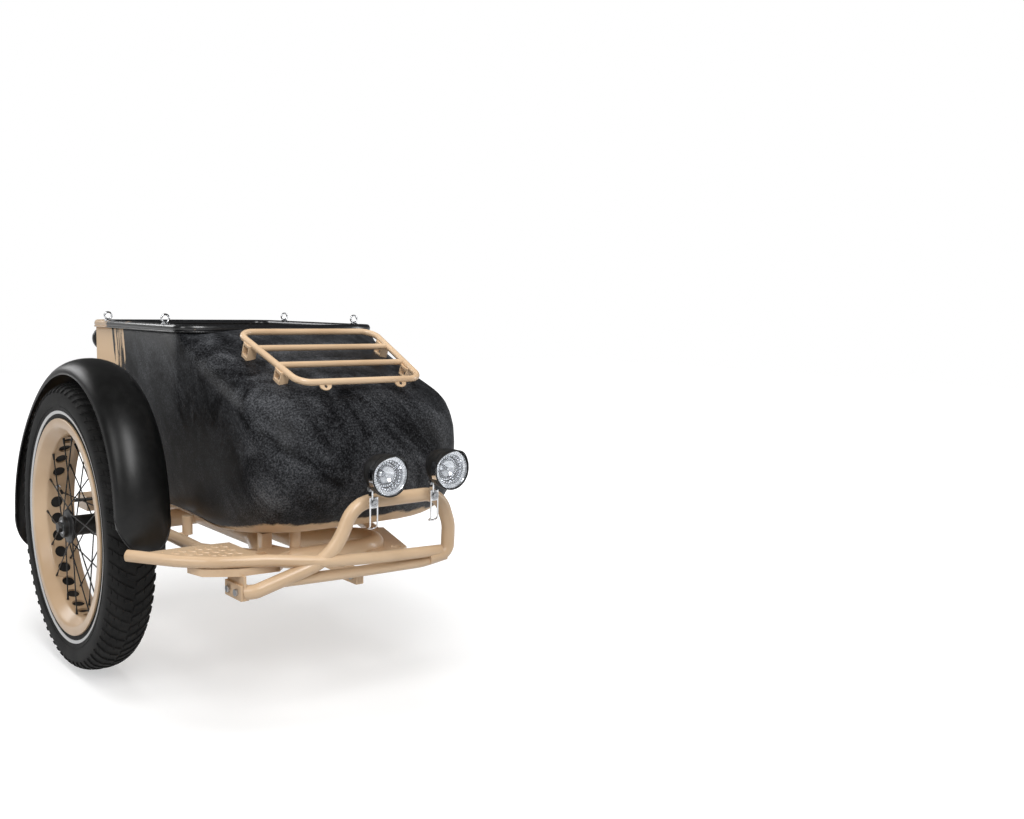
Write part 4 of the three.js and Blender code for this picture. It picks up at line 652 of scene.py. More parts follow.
def cockpit_outline(inset, steps=40):
    """The opening in plan, drawn in from the lip's middle line, in drawing millimetres."""
    half, rear, corner, reach = HALF - 3 - inset, REAR - 3 - inset, 42 - inset, 60 - inset
    outline = []
    for i in range(steps + 1):
        angle = math.pi + i * math.pi / steps
        c, s = math.cos(angle), math.sin(angle)
        outline.append((half * math.copysign(abs(c) ** (2 / 3.2), c), -90 - reach * abs(s) ** (2 / 3.2)))
    for side, start in ((1, 0), (-1, math.pi / 2)):
        for i in range(9):
            angle = start + i * math.pi / 16
            x = side * (half - corner) + corner * math.cos(angle)
            outline.append((x, rear - corner + corner * math.sin(angle)))
    return outline


print("tub stations", len(tub_places()))

# %% [markdown]
# The opening and the hollow are cut out of the closed form with booleans, as a jigsaw would.
# The cutters are removed at once, so the scene keeps only the finished skin.

# %% The tub's skin
def cut_by(target, points, faces):
    """Cuts a closed form out of a piece and applies the cut."""
    mesh = bpy.data.meshes.new("cutter")
    mesh.from_pydata([tuple(p) for p in points], [], faces)
    shaper = bmesh.new()
    shaper.from_mesh(mesh)
    bmesh.ops.remove_doubles(shaper, verts=shaper.verts, dist=1e-6)
    bmesh.ops.recalc_face_normals(shaper, faces=shaper.faces)
    shaper.to_mesh(mesh)
    shaper.free()
    tool = bpy.data.objects.new("cutter", mesh)
    bpy.context.scene.collection.objects.link(tool)
    cut = target.modifiers.new("cut", "BOOLEAN")
    cut.operation, cut.solver, cut.object = "DIFFERENCE", "EXACT", tool
    settled = bpy.data.meshes.new_from_object(target.evaluated_get(bpy.context.evaluated_depsgraph_get()))
    target.modifiers.clear()
    target.data = settled
    bpy.data.objects.remove(tool)


tub = piece("tub_skin", *tub_form(0), brushed, stands_for=("tub_shell",), crease=50)
tub.data.materials.append(inner_coat)
cut_by(tub, *tub_form(WALL))
hatch = cockpit_outline(4.5)
cut_by(tub, *skin([[at(x, y, z) for x, y in hatch] for z in (665, 720)]))
tub.data.shade_smooth()
tub.data.set_sharp_from_angle(angle=math.radians(50))
inside = 0
for face in tub.data.polygons:
    outward = face.normal.dot(face.center - at(0, -50, 480))
    face.material_index = 1 if outward < 0 else 0
    inside += face.material_index
print("tub faces", len(tub.data.polygons), "inside", inside)

# %% [markdown]
# Round the opening runs a rolled lip, thick as a thumb, which stiffens the sheet.
# It is an oval carried round the opening's outline. A finer bead marks where the sheet was turned over it.

# %% Lip and hems
def around(outline, z):
    """Stations and headings of a closed outline at one height."""
    places = [np.array([x, y, z], float) for x, y in outline]
    return places, loop_headings(places)


def oval(half_wide, half_tall, sides=20):
    """An oval outline."""
    turns = [2 * math.pi * i / sides for i in range(sides)]
    return [(half_wide * math.cos(a), half_tall * math.sin(a)) for a in turns]


lip_line = around(cockpit_outline(0, 56), 688)
piece("rolled_lip", *swept(*lip_line, oval(6.8, 8.6), closed=True), worn, crease=80)
bead_line = around(cockpit_outline(-6.2, 56), 681.5)
piece("lip_bead", *swept(*bead_line, oval(1.6, 1.6, 10), closed=True), worn, crease=80)
hem_rings = [tub_ring(y, -0.4, 12) for y in tub_places() if -330 < y < 392]
for label, corner in (("outer", 31), ("inner", 41)):
    places = [np.array(ring[corner]) for ring in hem_rings]
    headings = [unit(step) for step in np.gradient(np.array(places), axis=0)]
    piece("bottom_hem_" + label, *swept(places, headings, oval(2.2, 2.2, 12)), sand_coat, crease=80)
print("lip stations", len(lip_line[0]), "hem stations", len(hem_rings))

# %% [markdown]
# The rack is bent from one thin bar, with two cross bars welded in and four box feet down to the deck.
# It lies in a plane that slopes with the deck, so each place on it is a share of the way forward.

# %% Luggage rack
def rack_place(side, share):
    """A place on the rack: its left or right bar, and how far forward."""
    return np.array([side * mixed(154, 133, share), -mixed(239, 453, share), mixed(684, 598, share)])


BAR = 6.4
corners = [rack_place(-1, 0), rack_place(-1, 1), rack_place(1, 1), rack_place(1, 0)]
middle_rear = (corners[0] + corners[3]) / 2
loop_corners = [middle_rear, *corners, middle_rear]
bent_tube("rack_loop", loop_corners, 30, BAR, sand_coat, stands_for=("rack_frame",))
slope = math.atan2(684 - 598, 453 - 239)
down = np.array([0, math.sin(slope), -math.cos(slope)])
along = np.array([0, math.cos(slope), math.sin(slope)])
for number, share in enumerate((0.335, 0.665)):
    ends = [rack_place(side, share) for side in (-1, 1)]
    straight_rod("rack_bar_%d" % number, *ends, BAR * 0.94, sand_coat)


def deck_gap(place):
    """How far under the rack's plane the deck lies, square to the plane."""
    half, ridge, top, _, _ = section(place[1], 0)
    deck = mixed(ridge, top, max(0, 1 - (abs(place[0]) / half) ** 2.5) ** (1 / 2.5))
    return (place[2] - deck) * math.cos(slope)


def slanted(name, place, low, high, material, edge=0.8, **settings):
    """A block in the rack's own plane: across, along the plane, and square to it."""
    points = []
    for a in (low[0], high[0]):
        for b in (low[1], high[1]):
            for c in (low[2], high[2]):
                points.append(at(*(place + np.array([a, 0, 0]) + along * b - down * c)))
    faces = [(0, 1, 3, 2), (4, 6, 7, 5), (0, 4, 5, 1), (2, 3, 7, 6), (0, 2, 6, 4), (1, 5, 7, 3)]
    return softened(piece(name, points, faces, material, **settings), edge)


def eyelet(name, place, half=12, reach=9, hole=3.2, thick=1.3):
    """A rounded tongue with a hole through it, which leans forward and down from the front bar."""
    lean = math.radians(60)
    heading = np.array([0, -math.cos(lean), -math.sin(lean)])
    square = np.array([0, -math.sin(lean), math.cos(lean)])
    middle = place + heading * (BAR + 1.5)
    edge, bore = [], []
    for i in range(32):
        c, s = math.cos(math.pi * i / 16), math.sin(math.pi * i / 16)
        across = half * math.copysign(abs(c) ** (1 if s > 0 else 0.4), c)
        edge.append(middle + np.array([across, 0, 0]) + heading * s * reach)
        bore.append(middle + np.array([hole * c, 0, 0]) + heading * (hole * s + 1.5))
    rings = []
    for outline, lift in ((edge, -thick), (edge, thick), (bore, thick), (bore, -thick)):
        rings.append([at(*(p + square * lift)) for p in outline])
    return piece(name, *skin(rings, closed_along=True), sand_coat, crease=35)


number = 0
for side in (-1, 1):
    for share in (0.234, 0.743):
        place = rack_place(side, share)
        gap = deck_gap(place)
        number += 1
        for label, front in (("a", -13), ("b", 10)):
            slanted(
                "rack_foot_%d%s" % (number, label), place, (-9, front, -gap - 2), (9, front + 3, -1),
                sand_coat
            )
        slanted("rack_foot_%dc" % number, place, (-9, -12, -gap - 3), (9, 12, 4.6 - gap), sand_coat)
        slanted("rack_foot_%dd" % number, place, (-9, -12.5, -BAR - 1), (9, 12.5, -2), sand_coat)
    eyelet("rack_tab_%d" % (2 + side), np.array([side * 82, -453, 598.0]))
for index in range(1, 5):
    from_model("rack_screw_%d" % index, "rack_bolt_%d" % index, zinc, edge=0.3)
print("rack slope", round(math.degrees(slope), 1), "feet", number)

# %% [markdown]
# The bumper is the sidecar's face: a fat hoop round the lamps, a step tube that runs back to the fender,
# and a lower run that ties them together. All three are bent tubes, so they share one maker.
# Their ends meet flat plates, which two bolts clamp to the chassis.

# %% Bumper frame
hoop_corners = [
    (-272, -519, 247), (-259.6, -531, 249.5), (-130.6, -565.8, 296.5), (-92, -576, 392),
    (92, -576, 392), (113, -576, 330.4), (111, -576, 276.2), (69.8, -572, 269.9),
]
bent_tube(
    "bumper_hoop", hoop_corners, [19, 110, 50, 50, 50, 20.3], 12.7, sand_coat, stands_for=("bumper_frame",)
)
step_corners = [
    (-420, -367.5, 303), (-364.2, -441, 300), (-319.2, -489.3, 300), (-234.5, -529.8, 300),
    (-139.5, -569.7, 292.5), (-40, -576, 287.2), (94, -576, 282),
]
bent_tube("step_tube", step_corners, 90, 10.5, sand_coat)
lower_corners = [(-234, -538.7, 262), (-90, -556, 262), (60, -566, 262), (106.7, -576, 272)]
bent_tube("lower_run", lower_corners, 90, 10, sand_coat)
heading = np.array(step_corners[0], float) - np.array(step_corners[1], float)
heading = unit(heading)
cap_start = np.array(step_corners[0], float)
straight_rod("step_tube_cap", cap_start - heading * 6, cap_start + heading * 1.2, 9.2, moulded)
for index, (x, front) in enumerate(((-285, -526), (-70, -545))):
    layer = x + 2 * 5.3
    plate("bumper_end_plate_%d" % index, (layer, front, 234), (layer + 5, front + 64, 261), sand_coat)
for side, x in ((-1, -63.5), (1, 67.5)):
    boss = [(0.001, -591.6), (8.4, -591.6), (9, -590.8), (9, -577), (0.001, -577)]
    turned("lamp_boss_%d" % (2 + side), boss, "Y", (x, 0, 392), sand_coat, 32)


def weld(name, centre, normal, radius, thickness=2.2):
    """A ring of rippled weld metal where two pieces meet."""
    normal = unit(np.array(normal, float))
    first = np.cross(normal, (0.3, 0.2, 0.9))
    first = unit(first)
    second = np.cross(normal, first)
    places, headings = [], []
    for i in range(48):
        a = 2 * math.pi * i / 48
        places.append(np.array(centre, float) + radius * (first * math.cos(a) + second * math.sin(a)))
        headings.append(-first * math.sin(a) + second * math.cos(a))
    return piece(
        name, *swept(places, headings, oval(thickness, thickness * 0.8, 8), closed=True), sand_coat,
        crease=80
    )


weld("weld_boss_outer", (-63.5, -588, 392), (0, 1, 0), 9.2)
weld("weld_boss_inner", (67.5, -588, 392), (0, 1, 0), 9.2)
print("bumper stations", len(route(hoop_corners, [19, 110, 50, 50, 50, 20.3])[0]))

# %% [markdown]
# Under the tub lies the chassis. Its tubes are seen between the fender and the step,
# so they are bent here too.
# The plates and the pan stay as the model has them, with their edges softened.

# %% Chassis
from_model("chassis_welded", "chassis_frame", sand_coat, edge=0.7, crease=50)
from_model("coupling_sheet", "coupling_plate", sand_coat, edge=0.7)
from_model("coupling_face", "coupling_flange", sand_coat, edge=0.7)
outer_rail = [(-245, 328, 272), (-245, -200, 272), (-256, -422, 275)]
bent_tube("outer_rail", outer_rail, 60, 11.15, sand_coat)
hairpin = [
    (-100, 328, 264), (-100, -200, 264), (-150, -330, 264), (-131, -412, 264), (79, -412, 264),
    (79, -290, 264), (-40, -290, 264), (-40, 86, 264),
]
bent_tube("hairpin_tube", hairpin, [60, 30, 30, 61, 61, 38], 19.15, sand_coat)
cross_arm = [(-245, 84, 264), (262, 84, 264), (306, 84, 318), (341, 84, 318)]
bent_tube("cross_arm_tube", cross_arm, [45, 26.6], 19.15, sand_coat)
weld("weld_arm_flange", (341.6, 84, 318), (1, 0, 0), 19.6, 2.6)
weld("weld_arm_rail", (-234, 84, 264), (1, 0, 0), 19.0, 2.6)
for name in ("outer", "inner"):
    from_model("clamp_cheek_" + name, "clamp_plate_" + name, sand_coat)
    for end in ("front", "rear"):
        from_model("clamp_screw_%s_%s" % (name, end), "clamp_bolt_%s_%s" % (name, end), zinc, edge=0.4)
for index in range(1, 5):
    from_model("tub_screw_%d" % index, "tub_bolt_%d" % index, zinc, edge=0.4)
print("chassis tubes dressed")

# %% [markdown]
# The step is a sheet between the tube and the chassis. Its grip is a plain grid of small raised lozenges,
# pressed into the sheet, so each one is a low pyramid with a blunt top.

# %% Step plate
from_model("step_sheet", "step_plate", sand_coat, edge=0.8)


def lozenge(x, y, turn, z=303.0):
    """Points and faces of one raised lozenge of the grip."""
    c, s = math.cos(turn), math.sin(turn)
    rings = []
    for scale, lift in ((1, -0.4), (0.72, 0.0 + 0.8)):
        corner = [(7.5 * scale, 0), (0, 2.8 * scale), (-7.5 * scale, 0), (0, -2.8 * scale)]
        rings.append([at(x + a * c - b * s, y + a * s + b * c, z + lift) for a, b in corner])
    return skin(rings)


grip_points, grip_faces = [], []
tube_line = np.array([p[:2] for p in step_corners[:4]])
for row in range(8):
    for column in range(12):
        x, y = -408 + column * 15, -372 - row * 15 - (column % 2) * 7.5
        limit = np.interp(x, tube_line[:, 0], tube_line[:, 1])
        if y > limit + 24 and -402 < x < -246 and y < -372:
            points, faces = lozenge(x, y, math.radians(45 if (row + column) % 2 else -45))
            added(points, faces, grip_points, grip_faces)
piece("step_grip", grip_points, grip_faces, sand_coat, crease=30)
print("grip lozenges", len(grip_points) // 8)

# %% [markdown]
# The fender is one long arch of pressed steel with a gentle crown and rounded ends.
# A rolled hem runs along its edge, which catches a thin line of light, so it is modelled as a bead.

# %% Fender
FENDER_X, FENDER_HALF, FENDER_EDGE, FENDER_DEPTH, SHEET = 372, 50.5, 321, 30, 2.5
FRONT_END, REAR_END = math.pi * 0.485, math.pi * 0.584


def sway(angle):
    """How far the arch leaves a round one, which it does most at its ends."""
    return -12 * math.sin(3 * angle) * (1 + 1.6 * (angle / (math.pi / 2)) ** 2)


def on_fender(across, radius, angle):
    """A place on the arch: out across it, and round from its top, forward being negative."""
    reach = radius + sway(angle)
    return np.array([across - FENDER_X, reach * math.sin(angle) - 18, 276 + reach * math.cos(angle)])


def fender_end(across):
    """How far the rounded end draws in at a place across the fender."""
    return math.pi * 0.075 * (1 - math.sqrt(max(0, 1 - (across / FENDER_HALF) ** 2)))


def fender_skin(half, depth, along=110, over=28):
    """One face of the arch as a grid of drawing places."""
    rows = []
    for i in range(along + 1):
        row = []
        for j in range(over + 1):
            turn = math.pi * j / over
            across = -half * math.cos(turn)
            end = fender_end(across)
            angle = mixed(end - FRONT_END, REAR_END - end, i / along)
            row.append(on_fender(across, FENDER_EDGE + depth * math.sin(turn), angle))
        rows.append(row)
    return rows


outer_face = fender_skin(FENDER_HALF, FENDER_DEPTH)
inner_face = fender_skin(FENDER_HALF - SHEET, FENDER_DEPTH - SHEET)
rings = [[at(*p) for p in outer + inner[::-1]] for outer, inner in zip(outer_face, inner_face)]
piece("fender_arch", *skin(rings), gloss_black, stands_for=("fender",), crease=50)
edge_line = [row[0] for row in outer_face] + outer_face[-1][1:] + [row[-1] for row in outer_face[-2::-1]]
edge_line = edge_line + outer_face[0][-2:0:-1]
hem_places = []
for p in edge_line:
    if not hem_places or np.linalg.norm(p - hem_places[-1]) > 2.0:
        hem_places.append(p)
for k, p in enumerate(hem_places):
    hem_places[k] = np.array([(p[0] + FENDER_X) * 0.972 - FENDER_X, p[1], p[2]])
headings = loop_headings(hem_places)
piece("fender_hem", *swept(hem_places, headings, oval(1.9, 1.9, 10), closed=True), gloss_black, crease=80)
for end in ("rear", "front"):
    from_model("fender_bracket_" + end, "fender_stay_" + end, satin_black, edge=0.7)
print("fender rows", len(outer_face), "hem stations", len(hem_places))

# %% [markdown]
# A fat tyre has a round crown, a flat sidewall and a thin bead at the rim.
# The casing is turned first. The tread is then laid on it block by block: slanted bars that
# meet in a V along the middle, and shorter ones on the shoulders.

# %% Tyre casing
AXLE = (-376, 0, 290)
TYRE, SIDE_START, HALF_WIDE, GROOVE = 290, 258, 47, 2.6


def crown(share, lift):
    """Radius and distance out on the crown, by a share from 0 in the middle to 1 on the sidewall."""
    turn = abs(share) * math.pi / 2
    wide, tall = HALF_WIDE - GROOVE + lift, TYRE - SIDE_START - GROOVE + lift
    along = wide * math.sin(turn) ** (2 / 2.3)
    return SIDE_START + tall * math.cos(turn) ** (2 / 2.3), math.copysign(along, share)


def sidewall(radius):
    """The distance out on the lower sidewall at a radius."""
    share = (SIDE_START - radius) / (SIDE_START - 206)
    return 36.6 + (HALF_WIDE - GROOVE - 36.6) * (0.5 + 0.5 * math.cos(math.pi * min(1, max(0, share))))


top = [crown(s, 0) for s in np.linspace(-1, 1, 41)]
low = [(r, sidewall(r)) for r in np.linspace(SIDE_START - 4, 204, 12)]
inner_side = [(r, sidewall(r) - 4.6) for r in np.linspace(204, SIDE_START - 4, 8)]
arch = [
    (SIDE_START + 22 * math.cos(s), 37.4 * math.sin(s)) for s in np.linspace(math.pi / 2, -math.pi / 2, 15)
]
right_wall = low + inner_side
left_wall = [(r, -x) for r, x in right_wall[::-1]]
casing = [*top, *right_wall, *arch, *left_wall]
points, faces = turning([*casing, casing[0]], "X", AXLE, 160)
piece("tyre_casing", points, faces, rubber, body="wheel", stands_for=("tyre",), crease=60)
for side in (-1, 1):
    for label, low_r, high_r, lift in (
        ("line", 226.5, 232.5, 0.5), ("rib_a", 240.5, 242, 0.8), ("rib_b", 219, 220.6, 0.8)
    ):
        band = [(r, side * (sidewall(r) + lift)) for r in np.linspace(low_r, high_r, 4)]
        band = [
            (low_r - 0.4, side * (sidewall(low_r) - 0.6)), *band,
            (high_r + 0.4, side * (sidewall(high_r) - 0.6))
        ]
        look_of = pale_line if label == "line" else rubber
        turned("sidewall_%s_%d" % (label, 2 + side), band, "X", AXLE, look_of, 160, body="wheel")
print("casing points", len(casing))

# %% Tread blocks
PITCHES = 70


def tread_block(start_share, end_share, start_around, end_around, length):
    """A slanted bar that follows the crown, with sloping sides, as points and faces."""
    rings = []
    for i in range(6):
        t = i / 5
        share, middle = mixed(start_share, end_share, t), mixed(start_around, end_around, t)
        shrink = 1.3 if i in (0, 5) else 0
        ring = []
        for lift, reach in ((-1, 1), (GROOVE - 0.8 - shrink * 0.3, 0.93), (GROOVE - shrink * 0.4, 0.84)):
            radius, out = crown(share, lift)
            ring.append((radius, out, middle - length / 2 * reach))
        for lift, reach in ((GROOVE - shrink * 0.4, 0.84), (GROOVE - 0.8 - shrink * 0.3, 0.93), (-1, 1)):
            radius, out = crown(share, lift)
            ring.append((radius, out, middle + length / 2 * reach))
        rings.append(ring)
    return rings


def on_wheel(radius, out, around):
    """A place on the tyre as a scene point."""
    angle = around / TYRE
    return at(AXLE[0] + out, radius * math.sin(angle), AXLE[2] + radius * math.cos(angle))


tread_points, tread_faces = [], []
pitch = 2 * math.pi * TYRE / PITCHES
for k in range(PITCHES):
    for side, shift in ((1, 0), (-1, pitch / 2)):
        start = k * pitch + shift
        for low_share, high_share, first, last, length in (
            (0.012, 0.2, 0, 8, 11.5), (0.22, 0.4, 9, 17, 11.5), (0.42, 0.6, 17, 25, 11.5),
            (0.62, 0.8, 25, 30, 10.5),
        ):
            block = tread_block(side * low_share, side * high_share, start + first, start + last, length)
            points, faces = skin([[on_wheel(*p) for p in ring] for ring in block])
            added(points, faces, tread_points, tread_faces)
piece("tyre_tread", tread_points, tread_faces, rubber, body="wheel", crease=35)
print("tread blocks", PITCHES * 8)

# %% [markdown]
# The rim is a wide pressed band with rolled edges and a row of round holes that save weight.
# A black strip lies behind the holes and keeps the inner tube in.
# The holes are cut, as they are punched in a real rim.

# %% Rim and strip
half_rim = [
    (217, 41.2), (217, 38.4), (216.2, 37.3), (209, 36.9), (204.2, 36.7), (202.7, 35.4), (202.4, 27),
    (201.2, 24.4), (191.5, 21.6), (188.4, 19.6), (188, 17),
]
under_rim = [
    (183, 17), (183.2, 21), (185, 23.6), (196, 36.4), (199, 40.4), (201.5, 41.8), (214.8, 42), (216.4, 41.8)
]


def mirrored(rows):
    """A profile's other side, back to front."""
    return [(radius, -along) for radius, along in rows][::-1]


rim_profile = [*half_rim, *mirrored(half_rim), *mirrored(under_rim), *under_rim]
points, faces = turning([*rim_profile, rim_profile[0]], "X", AXLE, 192)
rim = piece("wheel_rim", points, faces, sand_coat, body="wheel", stands_for=("rim",), crease=35)


def rim_place(turns, radius, along=0):
    """A place round the wheel, counted in spokes from its top."""
    angle = turns * 2 * math.pi / 32
    return np.array([AXLE[0] + along, radius * math.sin(angle), AXLE[2] + radius * math.cos(angle)])


cut_points, cut_faces = [], []
for k in range(32):
    hole = 3.4 if k == 6 else 12.5
    start, end = rim_place(k + 0.5, 170), rim_place(k + 0.5, 195)
    heading = unit(end - start)
    points, faces = swept([start, end], [heading, heading], circle(hole, 28), start=np.array([1.0, 0, 0]))
    added(points, faces, cut_points, cut_faces)
cut_by(rim, cut_points, cut_faces)
rim.data.shade_smooth()
rim.data.set_sharp_from_angle(angle=math.radians(35))
from_model("inner_strip", "rim_strip", satin_black, body="wheel", edge=0, slot="rubber")
strip = [(188.5, -15), (189.6, -14.6), (189.6, 14.6), (188.5, 15)]
turned("rim_tape", strip, "X", AXLE, satin_black, 128, body="wheel", slot="rubber")
tube_ring = [(220.9 + 30.6 * math.cos(a), 30.6 * math.sin(a)) for a in np.linspace(0, 2 * math.pi, 33)]
turned(
    "inner_tube_ring", tube_ring, "X", AXLE, rubber, 96, body="wheel", slot="rubber",
    stands_for=("inner_tube",)
)
straight_rod(
    "valve_stem", rim_place(6.5, 192), rim_place(6.5, 152), 2.7, bright, 16, body="wheel", slot="rubber"
)
straight_rod(
    "valve_cap", rim_place(6.5, 160), rim_place(6.5, 149), 3.2, satin_black, 16, body="wheel", slot="rubber"
)
straight_rod(
    "valve_nut", rim_place(6.5, 182.6), rim_place(6.5, 179.4), 5.6, bright, 6, body="wheel", slot="rubber"
)
print("rim faces", len(rim.data.polygons))

# %% [markdown]
# Thirty-two black spokes cross between hub and rim.
# Each ends in a nipple at the rim and a bent head at the hub.

# %% Hub, spokes and axle
spoke_points, spoke_faces, nipple_points, nipple_faces = [], [], [], []


def rod_form(start, end, radius, sides, taper=1.0):
    """Points and faces of a thin straight bar."""
    heading = unit(end - start)
    side = np.cross(heading, (0.31, 0.22, 0.92))
    side = unit(side)
    lift = np.cross(side, heading)
    rings = []
    for place, scale in ((start, 1.0), (end, taper)):
        rings.append([at(*(place + scale * (side * a + lift * b))) for a, b in circle(radius, sides)])
    return skin(rings)


for k in range(32):
    side, lead = (1 if k % 2 else -1), (1 if k % 4 < 2 else -1)
    tip = rim_place(k, 182.3, side * (18 + 2 * lead))
    root = rim_place(k + lead * 0.18 * 32, 31.6, side * (31 + 2.5 * lead))
    added(*rod_form(root, tip, 1.3, 10), spoke_points, spoke_faces)
    heading = unit(root - tip)
    added(*rod_form(tip, tip + heading * 13, 2.5, 12, 0.72), nipple_points, nipple_faces)
    added(
        *rod_form(root - heading * -0.5, root + np.array([-side * lead * 4.6, 0, 0]), 1.6, 10),
        spoke_points, spoke_faces
    )
piece("spokes", spoke_points, spoke_faces, satin_black, body="wheel", crease=50)
piece("spoke_nipples", nipple_points, nipple_faces, satin_black, body="wheel", crease=50)
half_hub = [
    (20.2, 24), (24, 26.4), (33.6, 28.5), (34.6, 29.2), (35, 30.2), (35, 32), (34.4, 33.2), (27, 34.2),
    (22, 35.6),
    (21, 37), (21, 44), (20.2, 45), (14.4, 45), (14.4, 30),
]
hub_loop = [*mirrored(half_hub), *half_hub]
turned(
    "hub_shell", hub_loop, "X", AXLE, satin_black, 96, body="wheel", stands_for=("hub_with_spokes",),
    crease=35
)
for side, name in ((-1, "outer"), (1, "inner")):
    ring = [
        (6.3, 44.9), (8.6, 44.9), (9, 44.2), (11.6, 44.2), (12, 44.8), (13.8, 44.8), (13.8, 33.2),
        (6.3, 33.2), (6.3, 44.9)
    ]
    ring = [(radius, side * along) for radius, along in ring]
    turned(
        "bearing_" + name, ring, "X", AXLE, zinc, 64, body="wheel", stands_for=(name + "_bearing",),
        crease=35
    )
spindle = [
    (0.001, -53.1), (4.6, -53.1), (5.6, -52.1), (5.9, -51), (5.9, 44.9), (9.6, 45.6), (9.6, 74.6),
    (0.001, 74.8)
]
turned("axle_pin", spindle, "X", AXLE, satin_black, 48, stands_for=("axle_spindle",), crease=35)
print("spokes", len(spoke_points) // 40)


def hexagon_bolt(name, node, centre, axis, flat_radius, tall, material=None, washer=0, body="sidecar"):
    """A bolt head with a chamfered crown, which replaces the model's plain one. It grows along the axis."""
    axis = np.array(axis, float)
    centre = np.array(centre, float)
    side = np.cross(axis, (0.02, 0.03, 1.0)) if abs(axis[2]) < 0.9 else np.array([1.0, 0, 0])
    side = unit(side)
    lift = np.cross(axis, side)
    rings = []
    levels = [
        (flat_radius, 0), (flat_radius, tall * 0.78), (flat_radius * 0.86, tall), (flat_radius * 0.5, tall),
        (flat_radius * 0.42, tall * 0.86), (0.001, tall * 0.84)
    ]
    for number, (radius, rise) in enumerate(levels):
        ring = []
        for i in range(24):
            a = 2 * math.pi * i / 24
            hexed = math.cos(math.pi / 6) / math.cos((a % (math.pi / 3)) - math.pi / 6)
            spread = radius * (hexed if number < 2 else 1)
            ring.append(
                at(*(centre + side * spread * math.cos(a) + lift * spread * math.sin(a) + axis * rise))
            )
        rings.append(ring)
    points, faces = skin(rings)
    if washer:
        discs = []
        for radius, rise in ((washer, -0.1), (washer, 0.7), (washer * 0.94, 1.0), (flat_radius * 0.6, 1.0)):
            discs.append(
                [at(*(centre + side * radius * math.cos(a) + lift * radius * math.sin(a) + axis * rise))
                for a in np.linspace(0, 2 * math.pi, 33)[:-1]]
            )
        extra, extra_faces = skin(discs)
        faces = faces + [tuple(i + len(points) for i in face) for face in extra_faces]
        points = points + extra
    return piece(
        name, points, faces, material or zinc, body=body, stands_for=(node,) if node else (), crease=30
    )


hexagon_bolt("axle_hex_nut", "axle_nut", (-421.4, 0, 290), (-1, 0, 0), 11, 7.8, satin_black)
barrel = [(10.2, -330.7), (17.2, -330.7), (18, -329.9), (18, -275), (19.4, -272), (22, -270.6)]
turned("stub_barrel", barrel, "X", (0, 0, 290), satin_black, 64)
from_model("stub_flange", "stub_axle", satin_black, edge=0.8)
for side, name in ((-1, "front"), (1, "rear")):
    hexagon_bolt(
        "stub_screw_" + name, "stub_bolt_" + name, (-270.7, side * 26, 290), (-1, 0, 0), 6.5, 4.4, washer=8
    )
print("stub axle and bolts")

# %% [markdown]
# Four chromed eyes stand on the lip for a net or straps.
# Each is a ring of bright wire on a small round foot.
# At the back, a flat bracket holds the tail lamp, whose clear lens is a cluster of round beads.

# %% Tie-down eyes
for side, label in ((-1, "outer"), (1, "inner")):
    for y, end in ((291, "rear"), (-50, "front")):
        x, node = side * 222, "tie_down_eye_%s_%s" % (end, label)
        foot = [
            (0.001, 695.2), (7.9, 695.2), (8, 696.6), (6.8, 698.2), (3.4, 699.3), (2.6, 700.6),
            (0.001, 700.8)
        ]
        turned("eye_foot_%s_%s" % (end, label), foot, "Z", (x, y, 0), chrome, 40, stands_for=(node,))
        places = [
            np.array([x + 8 * math.sin(a), y, 707.1 + 8 * math.cos(a)])
            for a in np.linspace(0, 2 * math.pi, 49)[:-1]
        ]
        headings = [np.array([math.cos(a), 0, -math.sin(a)]) for a in np.linspace(0, 2 * math.pi, 49)[:-1]]
        ring_of_eye = swept(places, headings, circle(1.95, 14), closed=True, start=np.array([0, 1.0, 0]))
        piece("eye_ring_%s_%s" % (end, label), *ring_of_eye, chrome, crease=80)
print("eyes", 4)

# %% Tail lamp
TAIL = (-188, 407.6, 650)
from_model("tail_plate", "tail_lamp_bracket", moulded, edge=1.0)
cup = [(0.001, 0), (22.5, 0), (26.4, 2.4), (27.9, 6), (28, 14), (0.001, 14)]
turned("tail_cup", cup, "Y", TAIL, moulded, 72, stands_for=("tail_lamp_base",))
ring_of_cup = [(26.2, 13.6), (28, 13.8), (28, 17.6), (26.8, 18.2), (25.4, 17.4), (25.4, 13.6)]
turned("tail_ring", [*ring_of_cup, ring_of_cup[0]], "Y", TAIL, chrome, 72, slot="black_plastic")
mirror = [(0.001, 14.4), (25, 14.4), (25, 15.2), (0.001, 15.2)]
turned("tail_mirror", mirror, "Y", TAIL, bright, 48, slot="black_plastic")
dome = [
    (0.001, 15.4), (24.8, 15.4), (25, 20), (23.8, 25.6), (20, 30.2), (13.5, 33.6), (6.5, 35.2),
    (0.001, 35.6)
]
turned("tail_glass", dome, "Y", TAIL, clear, 72, stands_for=("tail_lamp_lens",))


def bead(centre, outward, radius):
    """A half-round bead of lens on a surface, as points and faces."""
    outward = unit(np.array(outward, float))
    side = np.cross(outward, (0.11, 0.2, 0.9))
    side = unit(side)
    lift = np.cross(side, outward)
    rings = []
    for share in (0, 0.35, 0.65, 0.88):
        around_by, rise = radius * math.cos(share * math.pi / 2), radius * math.sin(share * math.pi / 2)
        ring = [centre + side * a + lift * b + outward * rise for a, b in circle(around_by, 12)]
        rings.append([at(*p) for p in ring])
    return skin(rings)


